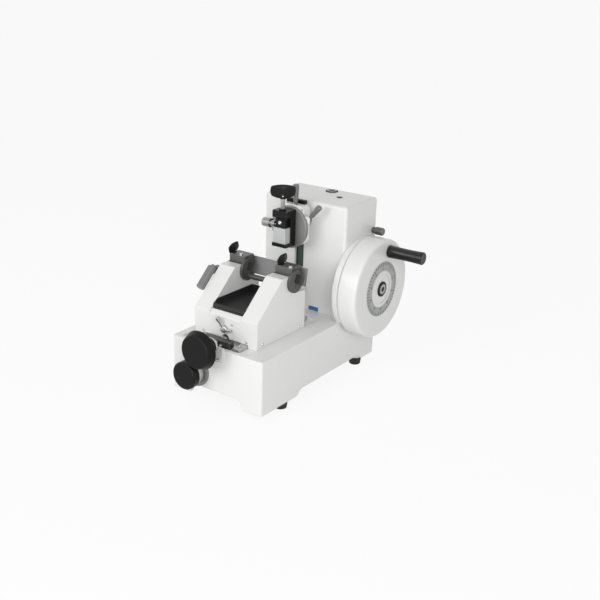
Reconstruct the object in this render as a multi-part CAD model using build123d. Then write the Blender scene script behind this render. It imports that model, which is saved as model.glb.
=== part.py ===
"""Rotary microtome: base, knife holder, specimen head, drive and handwheel.

Sizes are in millimetres. X runs to the operator's right and Z runs up from the bench.
While a piece is drawn, Y is the depth behind the base's front face. export_piece moves
every piece so that the origin ends up on the bench below the middle of the base.
"""
import os
from math import cos, pi, radians, sin

from build123d import *

# Clearances
SLIDE_GAP = 0.3
RUNNING_FIT = 0.05
SCREW_PLAY = 0.05

# Base casting
BASE_WIDTH = 200.0
BASE_LENGTH = 364.0
BASE_BOTTOM = 15.0
BASE_TOP = 115.0
BASE_WALL = 9.0
BASE_ROOF = 12.0
BASE_CORNER = 5.0
BASE_EDGE = 2.0
BASE_RIB_DEPTH = 262.0
BASE_RIB_THICKNESS = 8.0
CHANNEL_LEFT = -84.0
CHANNEL_RIGHT = 60.5
CHANNEL_START = 9.0
CHANNEL_END = 220.0
CHANNEL_FLOOR = 112.0
FRONT_ARCH_HALF_WIDTH = 60.5
FRONT_ARCH_TOP_HALF_WIDTH = 53.0
FRONT_ARCH_TOP = 33.0
FRONT_ARCH_CORNER = 12.0
SIDE_ARCH_START = 104.0
SIDE_ARCH_END = 319.0
SIDE_ARCH_SLOPE = 12.0
SIDE_ARCH_TOP = 25.5
SIDE_ARCH_CORNER = 8.0

# Feet
FOOT_X = 85.0
FOOT_DEPTHS = (76.0, 321.0)
FOOT_RADIUS = 12.5
FOOT_TIP_RADIUS = 11.0
FOOT_SCREW_DEPTH = 7.0
FOOT_BOSS_RADIUS = 12.0
FOOT_BOSS_HEIGHT = 30.0

# Cap screws
SCREW_RADIUS = 2.0
SCREW_HEAD_RADIUS = 3.5
SCREW_HEAD_HEIGHT = 4.0
SCREW_SOCKET_RADIUS = 1.7
SCREW_SOCKET_DEPTH = 2.0

# Rails on the channel floor
LEFT_RAIL_X = -53.0
RIGHT_RAIL_X = 33.0
RAIL_WIDTH = 14.0
RAIL_TOP = 118.5
RAIL_START = 12.0
RAIL_END = 216.0
RAIL_SCREW_DEPTHS = (24.0, 114.0, 206.0)

# Knife holder feed
FEED_X = -10.0
FEED_Z = 119.0
FEED_SCREW_RADIUS = 5.0
FEED_SCREW_END = 158.0
FEED_KNOB_FACE_DEPTH = -44.0
FEED_KNOB_RIM_DEPTH = -28.0
FEED_KNOB_FACE_RADIUS = 30.0
FEED_KNOB_RIM_RADIUS = 35.0
FEED_KNOB_CHAMFER = 1.5
FEED_KNOB_RIM_LIP = 2.0
FEED_HUB_FLARE = 3.0
FEED_HUB_RADIUS = 15.0
FEED_HUB_END = -4.6
FEED_COLLAR_RADIUS = 8.0
FEED_COLLAR_START = 2.0
FEED_COLLAR_LENGTH = 6.0
BEARING_BLOCK_LEFT = -40.0
BEARING_BLOCK_RIGHT = 20.0
BEARING_BLOCK_START = 11.5
BEARING_BLOCK_END = 24.0
BEARING_BLOCK_TOP = 126.0
BEARING_SCREW_SPACING = 22.0
BEARING_SCREW_Z = 117.0
FRONT_PLATE_LEFT = -38.0
FRONT_PLATE_RIGHT = 18.0
FRONT_PLATE_BOTTOM = 92.5
FRONT_PLATE_TOP = 120.0
FRONT_PLATE_THICKNESS = 4.0
FRONT_PLATE_EAR_RADIUS = 14.0
FRONT_PLATE_SCREW_SPACING = 38.0
FRONT_PLATE_SCREW_Z = 97.0
FEED_NUT_DEPTH = 100.0
FEED_NUT_LENGTH = 16.0
FEED_NUT_WIDTH = 20.0
FEED_NUT_BOTTOM = 112.8

# Section thickness knob
THICKNESS_X = -45.0
THICKNESS_Z = 61.5
THICKNESS_FLANGE_RADIUS = 29.0
THICKNESS_FLANGE_THICKNESS = 4.0
THICKNESS_KNOB_RADIUS = 25.4
THICKNESS_KNOB_FACE_DEPTH = -34.0
THICKNESS_KNOB_LENGTH = 15.0
THICKNESS_SLEEVE_RADIUS = 23.0
THICKNESS_SHAFT_RADIUS = 4.0
THICKNESS_SHAFT_END = 296.0
THICKNESS_CAM_RADIUS = 14.0
THICKNESS_CAM_OFFSET = 5.0
THICKNESS_CAM_LENGTH = 8.0

# Mechanism cover
COVER_HALF_WIDTH = 92.0
COVER_FRONT = 254.8
COVER_TOP = 328.5
COVER_WALL = 6.0
COVER_EDGE = 6.0
COVER_BOSS_RADIUS = 7.0
COVER_BOSS_HEIGHT = 18.0
COVER_BOSS_INSET = 11.0
SLOT_WIDTH = 20.5
SLOT_BOTTOM = 196.0
SLOT_TOP = 318.0
OIL_CAP_X = 1.0
OIL_CAP_DEPTH = 343.0
OIL_CAP_RADIUS = 12.0
OIL_CAP_HEIGHT = 1.6
PLUG_X = 39.0
PLUG_DEPTH = 311.5
PLUG_RADIUS = 5.5

# Handwheel and spindle
WHEEL_DEPTH = 308.5
WHEEL_Z = 171.3
SHROUD_RADIUS = 92.0
SHROUD_THICKNESS = 11.0
SHROUD_EDGE = 3.0
HUB_RADIUS = 22.0
HUB_END_X = 62.0
COVER_HUB_GAP = 1.0
BUSH_RADIUS = 11.0
BUSH_LENGTH = 9.0
SPINDLE_RADIUS = 8.0
WHEEL_BACK_X = 106.0
WHEEL_FACE_X = 142.8
WHEEL_RADIUS = 94.0
WHEEL_EDGE = 7.0
WHEEL_RIM = 15.0
WHEEL_WEB = 11.0
WHEEL_HUB_RADIUS = 20.0
DIAL_RADIUS = 52.5
DIAL_BORE_RADIUS = 28.0
DIAL_RECESS = 1.0
DIAL_THICKNESS = 1.6
HUB_CAP_RADIUS = 14.5
HUB_CAP_HEIGHT = 2.6
HANDLE_DEPTH = 328.4
HANDLE_Z = 240.4
HANDLE_END_X = 215.0
HANDLE_RADIUS = 12.0
HANDLE_WAIST_RADIUS = 11.0
HANDLE_CHAMFER = 2.0
HANDLE_PIN_RADIUS = 5.0
HANDLE_PIN_END_X = 205.0
LOCK_KNOB_DEPTH = 351.0
LOCK_KNOB_Z = 267.0
LOCK_KNOB_RADIUS = 7.5
LOCK_KNOB_START_X = 100.0
LOCK_KNOB_END_X = 115.0
LOCK_NECK_RADIUS = 4.0
LOCK_COLLAR_RADIUS = 6.0

# Crank drive
CRANK_RADIUS = 28.0
CRANK_ANGLE = 73.8
CRANK_DISC_RADIUS = 38.0
CRANK_DISC_BACK_X = 35.0
CRANK_DISC_FACE_X = 44.0
CRANK_SPACER_RADIUS = 14.0
CRANK_PIN_RADIUS = 5.0
CRANK_WINDOW_RADIUS = 11.0
CRANK_SIDE_WINDOW_RADIUS = CRANK_WINDOW_RADIUS * 0.75
CRANK_SIDE_WINDOW_PLACE = CRANK_RADIUS * 0.85
CRANK_SIDE_WINDOW_TURN = 60.0
CRANK_BLOCK_SIDE = 18.0
CRANK_BLOCK_START_X = 25.3

# Specimen carriage and its guides
HEAD_X = -10.0
HEAD_Z = 282.0
GUIDE_SPACING = 46.0
GUIDE_DEPTH = 281.0
GUIDE_RADIUS = 6.0
GUIDE_BUSH_RADIUS = 8.0
GUIDE_BUSH_LENGTH = 14.0
FRAME_LEFT = -62.0
FRAME_RIGHT = 24.0
FRAME_FRONT = 265.0
FRAME_BACK = 300.0
FRAME_TOP = 318.0
FRAME_BAR = 10.0
FRAME_COLUMN = 12.0
CARRIAGE_HALF_WIDTH = 32.5
CARRIAGE_FRONT = 265.0
CARRIAGE_BACK = 298.0
CARRIAGE_BOTTOM = 252.0
CARRIAGE_TOP = 306.0
YOKE_THICKNESS = 5.0
YOKE_RIGHT_X = 24.6
YOKE_START = 268.0
YOKE_END = 349.0
YOKE_RIM = 8.0
YOKE_ARM_END = 296.0
BRACKET_DEPTH = 315.0
BRACKET_THICKNESS = 6.0
BRACKET_HALF_WIDTH = 15.0
BRACKET_HALF_HEIGHT = 10.0
BRACKET_ARM = 4.5
STRIP_BOTTOM = 191.0
STRIP_TOP = 270.0
STRIP_THICKNESS = 1.5
STRIP_WIDTH = 24.0

# Advance of the specimen ram
RAM_RADIUS = 9.0
RAM_SHOULDER = 249.0
RAM_END = 312.0
RATCHET_SCREW_RADIUS = 4.0
RATCHET_SCREW_START = 286.0
RATCHET_SCREW_HEAD_RADIUS = 6.5
RATCHET_RADIUS = 20.0
RATCHET_TOOTH = 1.6
RATCHET_TEETH = 40
RATCHET_THICKNESS = 5.0
PAWL_HUB_RADIUS = 9.0
PAWL_REACH = 27.0
PAWL_THICKNESS = 4.0
PAWL_WIDTH = 8.0

# Tilting head
TILT_DEPTH = 239.0
TONGUE_THICKNESS = 8.0
TONGUE_RADIUS = 8.0
TONGUE_ROOM = 2.0
TILT_PIN_RADIUS = 4.0
HEAD_LEFT = -38.0
HEAD_RIGHT = 18.0
HEAD_FRONT = 226.0
HEAD_BACK = 246.0
HEAD_BOTTOM = 248.0
HEAD_TOP = 324.0
HEAD_CORNER = 12.0
HEAD_PIVOT_BORE_RADIUS = 12.05
HEAD_SPIGOT_LENGTH = 4.0
HEAD_SOCKET_X = 13.0
HEAD_SOCKET_Z = 316.0
HEAD_SOCKET_RADIUS = 3.5
HEAD_SOCKET_DEPTH = 6.0
CAP_LEFT = -30.0
CAP_RIGHT = 11.0
CAP_START = 238.4
CAP_HEIGHT = 7.0
LEVER_DEPTH = 232.5
LEVER_HUB_RADIUS = 6.0
LEVER_HUB_WIDTH = 6.8
LEVER_STUB_RADIUS = 2.5
LEVER_STUB_LENGTH = 2.5
LEVER_NECK_RADIUS = 4.4
LEVER_TIP_RADIUS = 5.6
LEVER_TIP_CHAMFER = 1.5
LEVER_NECK_START = 3.0
LEVER_NECK_END = 5.0
TILT_LEVER_X = -5.0
TILT_LEVER_Z = 317.0
TILT_LEVER_LENGTH = 44.0
TILT_LEVER_SWING = 25.0
ROLL_LEVER_X = 24.8
ROLL_LEVER_Z = 299.0
ROLL_LEVER_LENGTH = 37.0
ROLL_LEVER_LEAN = 40.0
ROLL_EAR_LENGTH = 12.5
ROLL_EAR_HEIGHT = 15.0
ROLL_EAR_BACK = 239.0

# Specimen clamp
DISC_RADIUS = 39.5
DISC_FRONT = 219.0
DISC_BACK = 225.5
DISC_GROOVE = 1.2
CLAMP_FRONT = 189.0
CLAMP_PLATE_FRONT = 205.0
CLAMP_HALF_WIDTH = 15.5
CLAMP_BOTTOM = 250.0
CLAMP_JAW_TOP = 257.0
CLAMP_BRIDGE_BOTTOM = 305.0
CLAMP_TOP = 318.0
CLAMP_CORNER = 1.5
SPECIMEN_HALF_WIDTH = 13.5
SPECIMEN_TOP = 286.0
JAW_HALF_WIDTH = 10.5
JAW_FRONT = 192.0
JAW_TOP = 303.0
JAW_SCREW_Z = 296.0
JAW_SCREW_HEAD_RADIUS = 3.6
CLAMP_SCREW_DEPTH = 199.0
CLAMP_SCREW_RADIUS = 4.0
CLAMP_SCREW_TIP = 291.0
CLAMP_COLLAR_RADIUS = 7.0
CLAMP_COLLAR_HEIGHT = 3.0
CLAMP_WING_BOTTOM = 339.0
CLAMP_WING_SPAN = 46.0
CLAMP_WING_HEIGHT = 28.0
CLAMP_WING_THICKNESS = 11.0
CLAMP_WING_TURN = 38.0
SIDE_SCREW_DEPTH = 197.0
SIDE_SCREW_Z = 290.0
SIDE_SCREW_RADIUS = 2.8
SIDE_SCREW_TIP_X = -16.0
SIDE_COLLAR_RADIUS = 6.0
SIDE_COLLAR_START_X = -24.0
SIDE_COLLAR_END_X = -34.0
SIDE_KNOB_RADIUS = 8.5
SIDE_KNOB_END_X = -51.0

# Knife holder
HOLDER_LEFT = -80.0
HOLDER_RIGHT = 60.0
CHEEK_LEFT_INNER = -46.0
CHEEK_RIGHT_INNER = 24.0
HOLDER_FRONT = 38.0
HOLDER_BACK = 178.0
HOLDER_NOSE_TOP = 162.0
HOLDER_SLOPE_END = 108.0
HOLDER_TOP = 224.0
HOLDER_REAR_TOP = 190.0
HOLDER_REAR_FALL = 4.0
HOLDER_EDGE = 2.5
HOLDER_WALL = 6.0
CHEEK_CORE_WIDTH = 10.0
APRON_BOTTOM = 119.0
APRON_TOP = 158.0
APRON_SLOPE = 7.5
DECK_TOP = 165.4
DECK_THICKNESS = 5.0
REAR_WALL_BOTTOM = 128.0
SCREW_NOTCH_RADIUS = 8.0
SIDE_SCREW_DEPTHS = (53.5, 161.8)
SIDE_SCREW_HEIGHT = 120.6
FRONT_SCREW_POSITIONS = ((37.0, 122.5), (4.8, 147.3), (-60.0, 122.5))
SMALL_SCREW_RADIUS = 1.5
SMALL_SCREW_HEAD_RADIUS = 2.6
SMALL_SCREW_HEAD_HEIGHT = 1.2
SMALL_SCREW_LENGTH = 5.0

# Holder clamp lever
HOLDER_LEVER_X = -10.0
HOLDER_LEVER_Z = 137.0
HOLDER_LEVER_HUB_RADIUS = 6.5
HOLDER_LEVER_HUB_FRONT = 30.5
HOLDER_LEVER_STUB_RADIUS = 4.0
HOLDER_LEVER_STUB_LENGTH = 5.0
HOLDER_LEVER_REACH = 25.0
HOLDER_LEVER_RISE = 7.0
HOLDER_LEVER_ANGLE = 27.5
HOLDER_LEVER_NECK_RADIUS = 2.6
HOLDER_LEVER_GRIP_RADIUS = 4.2
HOLDER_LEVER_TAIL = 16.0

# Waste tray
TRAY_HALF_WIDTH = 34.3
TRAY_FRONT = 44.5
TRAY_FRONT_TOP = 172.0
TRAY_RIM_START = 57.0
TRAY_BACK = 157.0
TRAY_BOTTOM = 165.7
TRAY_TOP = 180.0
TRAY_WALL = 2.0
TRAY_CORNER = 3.0

# Knife cradle
CRADLE_DEPTH = 141.5
CRADLE_Z = 212.7
CRADLE_RADIUS = 17.0
CRADLE_FLAT = 224.3
CRADLE_DISC_RADIUS = 20.5
CRADLE_DISC_THICKNESS = 5.0
TIE_ROD_Z = 201.0
TIE_ROD_RADIUS = 5.0
HEEL_PIN_RADIUS = 2.5
HEEL_PIN_LENGTH = 1.5
HEEL_PIN_Z = 205.0
POCKET_DEPTH = 134.6
POCKET_Z = 213.2
POCKET_LEAN = 27.4
POCKET_WIDTH = 17.9
POCKET_HEIGHT = 16.0
KNIFE_LEFT = -86.0
KNIFE_LENGTH = 160.0
KNIFE_HEIGHT = 31.5
KNIFE_HEEL = 9.0
KNIFE_REST_HEIGHT = 12.0
KNIFE_REST_WALL = 4.0
BRACKET_FRONT = 134.0
BRACKET_TOP = 237.5
BRACKET_KNIFE_GAP = 1.5
BRACKET_SCREW_X_OFFSET = 18.0
BRACKET_SCREW_DEPTH = 136.9
BRACKET_SCREW_LENGTH = 15.5
LEFT_WING_X = -73.0
RIGHT_WING_X = 37.0
WING_DEPTH = 139.6
WING_Z = 240.0
WING_LEAN = 15.0
WING_SPAN = 28.0
WING_HEIGHT = 18.0
WING_THICKNESS = 8.0
WING_SCREW_RADIUS = 3.0
WING_SCREW_LENGTH = 26.0
PAD_WIDTH = 14.0
PAD_FRONT = 4.0
PAD_BOTTOM = 3.0
PAD_HEIGHT = 7.0

# Knife angle lock lever
ANGLE_LEVER_DEPTH = 112.0
ANGLE_LEVER_Z = 208.0
ANGLE_LEVER_X = -89.0
ANGLE_LEVER_HUB_RADIUS = 10.0
ANGLE_LEVER_RADIUS = 8.0
ANGLE_LEVER_STUB_RADIUS = 4.0
ANGLE_LEVER_STUB_LENGTH = 5.0
ANGLE_GRIP_TOP = (95.6, 218.6)
ANGLE_GRIP_END = (62.0, 188.0)

# Turns that point a piece drawn along Z another way
TO_RIGHT = Rot(0, 90, 0)
TO_FRONT = Rot(90, 0, 0)
TO_BACK = Rot(-90, 0, 0)
TO_BENCH = Rot(180, 0, 0)


def block(x_span, y_span, z_span):
    """Return the block between two planes on each axis."""
    spans = (x_span, y_span, z_span)
    size = [high - low for low, high in spans]
    centre = [(high + low) / 2 for low, high in spans]
    return Pos(*centre) * Box(*size)


def rod_x(x_span, radius, y, z):
    """Return a round bar along X."""
    start, end = x_span
    return Pos((start + end) / 2, y, z) * TO_RIGHT * Cylinder(radius, end - start)


def rod_y(y_span, radius, x, z):
    """Return a round bar along Y."""
    start, end = y_span
    return Pos(x, (start + end) / 2, z) * TO_BACK * Cylinder(radius, end - start)


def rod_z(z_span, radius, x, y):
    """Return an upright round bar."""
    start, end = z_span
    return Pos(x, y, (start + end) / 2) * Cylinder(radius, end - start)


def outline(points, corners):
    """Return the face inside a closed line with rounded corners."""
    return make_face(FilletPolyline(*points, radius=corners, close=True))


def prism_x(points, x_span, corners=0):
    """Return a (y, z) outline carried along X."""
    start, end = x_span
    return Pos(start, 0, 0) * extrude(Plane.YZ * outline(points, corners), end - start)


def prism_y(points, y_span, corners=0):
    """Return an (x, z) outline carried along Y."""
    start, end = y_span
    return Pos(0, end, 0) * extrude(Plane.XZ * outline(points, corners), end - start)


def turned(profile):
    """Return the shape that a (radius, height) profile sweeps around Z."""
    return revolve(Plane.XZ * make_face(Polyline(*profile, close=True)), Axis.Z)


def cap_screw(length):
    """Return a socket head screw whose seat is at the origin and whose shank points down."""
    screw = rod_z((0, SCREW_HEAD_HEIGHT), SCREW_HEAD_RADIUS, 0, 0)
    screw += rod_z((-length, 0), SCREW_RADIUS, 0, 0)
    socket_floor = SCREW_HEAD_HEIGHT - SCREW_SOCKET_DEPTH
    return screw - rod_z((socket_floor, SCREW_HEAD_HEIGHT), SCREW_SOCKET_RADIUS, 0, 0)


def screw_hole(length, head_depth=0.0):
    """Return the hole for a cap screw, with room for its head above the origin."""
    hole = rod_z((-length - SCREW_PLAY, 0), SCREW_RADIUS + SCREW_PLAY, 0, 0)
    if head_depth:
        hole += rod_z((0, head_depth), SCREW_HEAD_RADIUS + SLIDE_GAP, 0, 0)
    return hole


def small_screw():
    """Return a round head screw that points down from the origin."""
    head = turned(
        [
            (0, 0),
            (SMALL_SCREW_HEAD_RADIUS, 0),
            (SMALL_SCREW_HEAD_RADIUS * 0.7, SMALL_SCREW_HEAD_HEIGHT),
            (0, SMALL_SCREW_HEAD_HEIGHT),
        ]
    )
    return head + rod_z((-SMALL_SCREW_LENGTH, 0), SMALL_SCREW_RADIUS, 0, 0)


def small_screw_hole():
    """Return the hole for a round head screw."""
    length = SMALL_SCREW_LENGTH + SCREW_PLAY
    return rod_z((-length, 0), SMALL_SCREW_RADIUS + SCREW_PLAY, 0, 0)


def joined(pieces):
    """Return one shape made of several."""
    whole = Part()
    for piece in pieces:
        whole += piece
    return whole


def group(pieces):
    """Return separate solids that are stored as one node."""
    return Compound(children=[solid for piece in pieces for solid in piece.solids()])


def foot_places():
    """Return the places of the four feet."""
    return [Pos(side * FOOT_X, depth, 0) for side in (-1, 1) for depth in FOOT_DEPTHS]


def rail_screw_places():
    """Return the seats of the screws that hold the rails."""
    seat = RAIL_TOP - SCREW_HEAD_HEIGHT - SLIDE_GAP
    return [Pos(x, depth, seat) for x in (LEFT_RAIL_X, RIGHT_RAIL_X) for depth in RAIL_SCREW_DEPTHS]


def front_plate_screw_places():
    """Return the seats of the screws on the front plate."""
    offset = FRONT_PLATE_SCREW_SPACING / 2
    places = [Pos(FEED_X + side * offset, 0, FRONT_PLATE_SCREW_Z) for side in (-1, 1)]
    return [Pos(0, -FRONT_PLATE_THICKNESS, 0) * place * TO_FRONT for place in places]


def bearing_screw_places():
    """Return the seats of the screws on the bearing block."""
    offset = BEARING_SCREW_SPACING / 2
    seat = BEARING_BLOCK_START + SCREW_HEAD_HEIGHT / 2
    return [Pos(FEED_X + side * offset, seat, BEARING_SCREW_Z) * TO_FRONT for side in (-1, 1)]


def cover_boss_places():
    """Return the middles of the four bosses inside the cover."""
    x = COVER_HALF_WIDTH - COVER_BOSS_INSET
    depths = (COVER_FRONT + COVER_BOSS_INSET, BASE_LENGTH - COVER_BOSS_INSET)
    return [Pos(side * x, depth, 0) for side in (-1, 1) for depth in depths]


def frame_screw_places():
    """Return the seats of the screws in the foot of the mechanism frame."""
    seat = BASE_TOP + FRAME_BAR - SCREW_HEAD_HEIGHT - SLIDE_GAP
    spacing = GUIDE_RADIUS + SCREW_HEAD_RADIUS + 2
    return [Pos(x, depth - spacing, seat) for x, depth in guide_places()]


def base_casting():
    """Return the hollow base with its channel, arches and foot bosses."""
    height = BASE_TOP - BASE_BOTTOM
    middle = BASE_LENGTH / 2
    plan = RectangleRounded(BASE_WIDTH, BASE_LENGTH, BASE_CORNER)
    base = Pos(0, middle, BASE_BOTTOM) * extrude(plan, height)
    base = fillet(base.edges().group_by(Axis.Z)[-1], BASE_EDGE)
    inside_x = BASE_WIDTH / 2 - BASE_WALL
    roof = BASE_TOP - BASE_ROOF
    base -= block((-inside_x, inside_x), (BASE_WALL, BASE_LENGTH - BASE_WALL), (0, roof))
    base += base_rib(inside_x, roof)
    base -= front_arch()
    base -= side_arch()
    base += joined(place * foot_boss() for place in foot_places())
    channel_x = (CHANNEL_LEFT, CHANNEL_RIGHT)
    base -= block(channel_x, (CHANNEL_START, CHANNEL_END), (CHANNEL_FLOOR, BASE_TOP + BASE_WALL))
    return base - base_holes(roof)


def base_rib(inside_x, roof):
    """Return the cross rib that stiffens the base under the cover."""
    depths = (BASE_RIB_DEPTH, BASE_RIB_DEPTH + BASE_RIB_THICKNESS)
    bottom = THICKNESS_Z - 2 * BASE_RIB_THICKNESS
    return block((-inside_x, inside_x), depths, (bottom, roof))


def front_arch():
    """Return the opening under the front and rear walls."""
    below = BASE_BOTTOM - BASE_WALL
    points = [
        (-FRONT_ARCH_HALF_WIDTH, below),
        (FRONT_ARCH_HALF_WIDTH, below),
        (FRONT_ARCH_HALF_WIDTH, BASE_BOTTOM),
        (FRONT_ARCH_TOP_HALF_WIDTH, FRONT_ARCH_TOP),
        (-FRONT_ARCH_TOP_HALF_WIDTH, FRONT_ARCH_TOP),
        (-FRONT_ARCH_HALF_WIDTH, BASE_BOTTOM),
    ]
    corners = [0, 0, 0, FRONT_ARCH_CORNER, FRONT_ARCH_CORNER, 0]
    return prism_y(points, (-BASE_WALL, BASE_LENGTH + BASE_WALL), corners)


def side_arch():
    """Return the opening under the side walls."""
    below = BASE_BOTTOM - BASE_WALL
    points = [
        (SIDE_ARCH_START, below),
        (SIDE_ARCH_END, below),
        (SIDE_ARCH_END, BASE_BOTTOM),
        (SIDE_ARCH_END - SIDE_ARCH_SLOPE, SIDE_ARCH_TOP),
        (SIDE_ARCH_START + SIDE_ARCH_SLOPE, SIDE_ARCH_TOP),
        (SIDE_ARCH_START, BASE_BOTTOM),
    ]
    corners = [0, 0, 0, SIDE_ARCH_CORNER, SIDE_ARCH_CORNER, 0]
    return prism_x(points, (-BASE_WIDTH, BASE_WIDTH), corners)


def foot_boss():
    """Return the boss that a foot is screwed to."""
    return rod_z((BASE_BOTTOM, BASE_BOTTOM + FOOT_BOSS_HEIGHT), FOOT_BOSS_RADIUS, 0, 0)


def base_holes(roof):
    """Return every hole in the base."""
    foot_hole = Pos(0, 0, BASE_BOTTOM) * TO_BENCH * screw_hole(FOOT_BOSS_HEIGHT / 2)
    holes = [place * foot_hole for place in foot_places()]
    holes += [place * screw_hole(BASE_WALL) for place in rail_screw_places()]
    holes += [place * screw_hole(BASE_WALL + BASE_EDGE) for place in front_plate_screw_places()]
    holes += [place * screw_hole(BASE_TOP - roof) for place in frame_screw_places()]
    holes += [place * cover_screw_hole(roof) for place in cover_boss_places()]
    shaft_hole = THICKNESS_SHAFT_RADIUS + RUNNING_FIT
    holes.append(rod_y((0, BASE_RIB_DEPTH + BASE_WALL), shaft_hole, THICKNESS_X, THICKNESS_Z))
    collar_room = FEED_COLLAR_RADIUS + 1
    holes.append(rod_y((-BASE_WALL, BEARING_BLOCK_START), collar_room, FEED_X, FEED_Z))
    return joined(holes)


def cover_screw_hole(roof):
    """Return the hole for a screw that comes up through the base into the cover."""
    return Pos(0, 0, roof) * TO_BENCH * screw_hole(COVER_BOSS_HEIGHT + BASE_ROOF, SCREW_HEAD_HEIGHT)


def base_feet():
    """Return the four rubber feet."""
    return group(place * rubber_foot() for place in foot_places())


def rubber_foot():
    """Return one foot with a recess for its screw."""
    foot = turned(
        [
            (0, 0),
            (FOOT_TIP_RADIUS - 1, 0),
            (FOOT_TIP_RADIUS, 1),
            (FOOT_RADIUS, BASE_BOTTOM - 2),
            (FOOT_RADIUS, BASE_BOTTOM),
            (0, BASE_BOTTOM),
        ]
    )
    foot -= rod_z((0, FOOT_SCREW_DEPTH), SCREW_HEAD_RADIUS + SLIDE_GAP, 0, 0)
    return foot - rod_z((0, BASE_BOTTOM), SCREW_RADIUS + SCREW_PLAY, 0, 0)


def fixed_screws():
    """Return the cap screws that hold the fixed pieces together."""
    foot_length = BASE_BOTTOM - FOOT_SCREW_DEPTH + FOOT_BOSS_HEIGHT / 2
    roof = BASE_TOP - BASE_ROOF
    foot_seat = Pos(0, 0, FOOT_SCREW_DEPTH) * TO_BENCH
    screws = [place * foot_seat * cap_screw(foot_length) for place in foot_places()]
    screws += [place * cap_screw(BASE_WALL) for place in rail_screw_places()]
    screws += [place * cap_screw(BASE_WALL + BASE_EDGE) for place in front_plate_screw_places()]
    bearing_length = (BEARING_BLOCK_END - BEARING_BLOCK_START) / 2
    screws += [place * cap_screw(bearing_length) for place in bearing_screw_places()]
    screws += [place * cap_screw(BASE_ROOF) for place in frame_screw_places()]
    cover_seat = Pos(0, 0, roof) * TO_BENCH
    cover_length = BASE_ROOF + COVER_BOSS_HEIGHT - BASE_WALL
    screws += [place * cover_seat * cap_screw(cover_length) for place in cover_boss_places()]
    return group(screws)


def slide_rails():
    """Return the two rails that the knife holder slides on."""
    rails = []
    for x in (LEFT_RAIL_X, RIGHT_RAIL_X):
        span = (x - RAIL_WIDTH / 2, x + RAIL_WIDTH / 2)
        rail = block(span, (RAIL_START, RAIL_END), (CHANNEL_FLOOR, RAIL_TOP))
        rails.append(chamfer(rail.edges().filter_by(Axis.Y).group_by(Axis.Z)[-1], 1))
    holes = joined(place * screw_hole(BASE_WALL, BASE_WALL) for place in rail_screw_places())
    return group(rail - holes for rail in rails)


def feed_bearing_block():
    """Return the block that carries the feed screw at the front of the channel."""
    span = (BEARING_BLOCK_LEFT, BEARING_BLOCK_RIGHT)
    depths = (BEARING_BLOCK_START, BEARING_BLOCK_END)
    bearing = block(span, depths, (CHANNEL_FLOOR, BEARING_BLOCK_TOP))
    bearing = chamfer(bearing.edges().group_by(Axis.Z)[-1], 0.8)
    bearing -= rod_y(depths, FEED_SCREW_RADIUS + RUNNING_FIT, FEED_X, FEED_Z)
    length = (BEARING_BLOCK_END - BEARING_BLOCK_START) / 2
    return bearing - joined(place * screw_hole(length, BASE_WALL) for place in bearing_screw_places())


def front_plate():
    """Return the plate that carries the feed screw on the front wall."""
    depths = (-FRONT_PLATE_THICKNESS, 0)
    span = (FRONT_PLATE_LEFT, FRONT_PLATE_RIGHT)
    plate = block(span, depths, (FRONT_PLATE_BOTTOM, FRONT_PLATE_TOP))
    plate = chamfer(plate.edges().group_by(Axis.Y)[0], 0.6)
    plate += rod_y(depths, FRONT_PLATE_EAR_RADIUS, FEED_X, FEED_Z)
    plate -= rod_y(depths, FEED_SCREW_RADIUS + RUNNING_FIT, FEED_X, FEED_Z)
    return plate - joined(place * screw_hole(BASE_WALL) for place in front_plate_screw_places())


def feed_knob():
    """Return the large knob on the feed screw."""
    rim = FEED_KNOB_RIM_DEPTH - FEED_KNOB_FACE_DEPTH
    hub = FEED_HUB_END - FEED_KNOB_FACE_DEPTH
    knob = turned(
        [
            (0, 0),
            (FEED_KNOB_FACE_RADIUS - FEED_KNOB_CHAMFER, 0),
            (FEED_KNOB_FACE_RADIUS, FEED_KNOB_CHAMFER),
            (FEED_KNOB_RIM_RADIUS, rim - FEED_KNOB_RIM_LIP),
            (FEED_KNOB_RIM_RADIUS - FEED_KNOB_RIM_LIP / 2, rim),
            (FEED_HUB_RADIUS + FEED_KNOB_RIM_LIP, rim),
            (FEED_HUB_RADIUS, rim + FEED_HUB_FLARE),
            (FEED_HUB_RADIUS, hub),
            (0, hub),
        ]
    )
    knob -= rod_z((rim / 2, hub), FEED_SCREW_RADIUS, 0, 0)
    return Pos(FEED_X, FEED_KNOB_FACE_DEPTH, FEED_Z) * TO_BACK * knob


def feed_screw():
    """Return the screw that drives the knife holder, with its thrust collar."""
    start = (FEED_KNOB_RIM_DEPTH + FEED_KNOB_FACE_DEPTH) / 2
    screw = rod_y((start, FEED_SCREW_END), FEED_SCREW_RADIUS, FEED_X, FEED_Z)
    screw = chamfer(screw.edges().group_by(Axis.Y)[-1], 1)
    collar = (FEED_COLLAR_START, FEED_COLLAR_START + FEED_COLLAR_LENGTH)
    return screw + rod_y(collar, FEED_COLLAR_RADIUS, FEED_X, FEED_Z)


def thickness_flange():
    """Return the flange around the section thickness knob."""
    flange = turned(
        [
            (0, 0),
            (THICKNESS_FLANGE_RADIUS, 0),
            (THICKNESS_FLANGE_RADIUS, THICKNESS_FLANGE_THICKNESS - 1),
            (THICKNESS_FLANGE_RADIUS - 1, THICKNESS_FLANGE_THICKNESS),
            (0, THICKNESS_FLANGE_THICKNESS),
        ]
    )
    bore = THICKNESS_SHAFT_RADIUS + RUNNING_FIT
    flange -= rod_z((0, THICKNESS_FLANGE_THICKNESS), bore, 0, 0)
    return Pos(THICKNESS_X, 0, THICKNESS_Z) * TO_FRONT * flange


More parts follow.
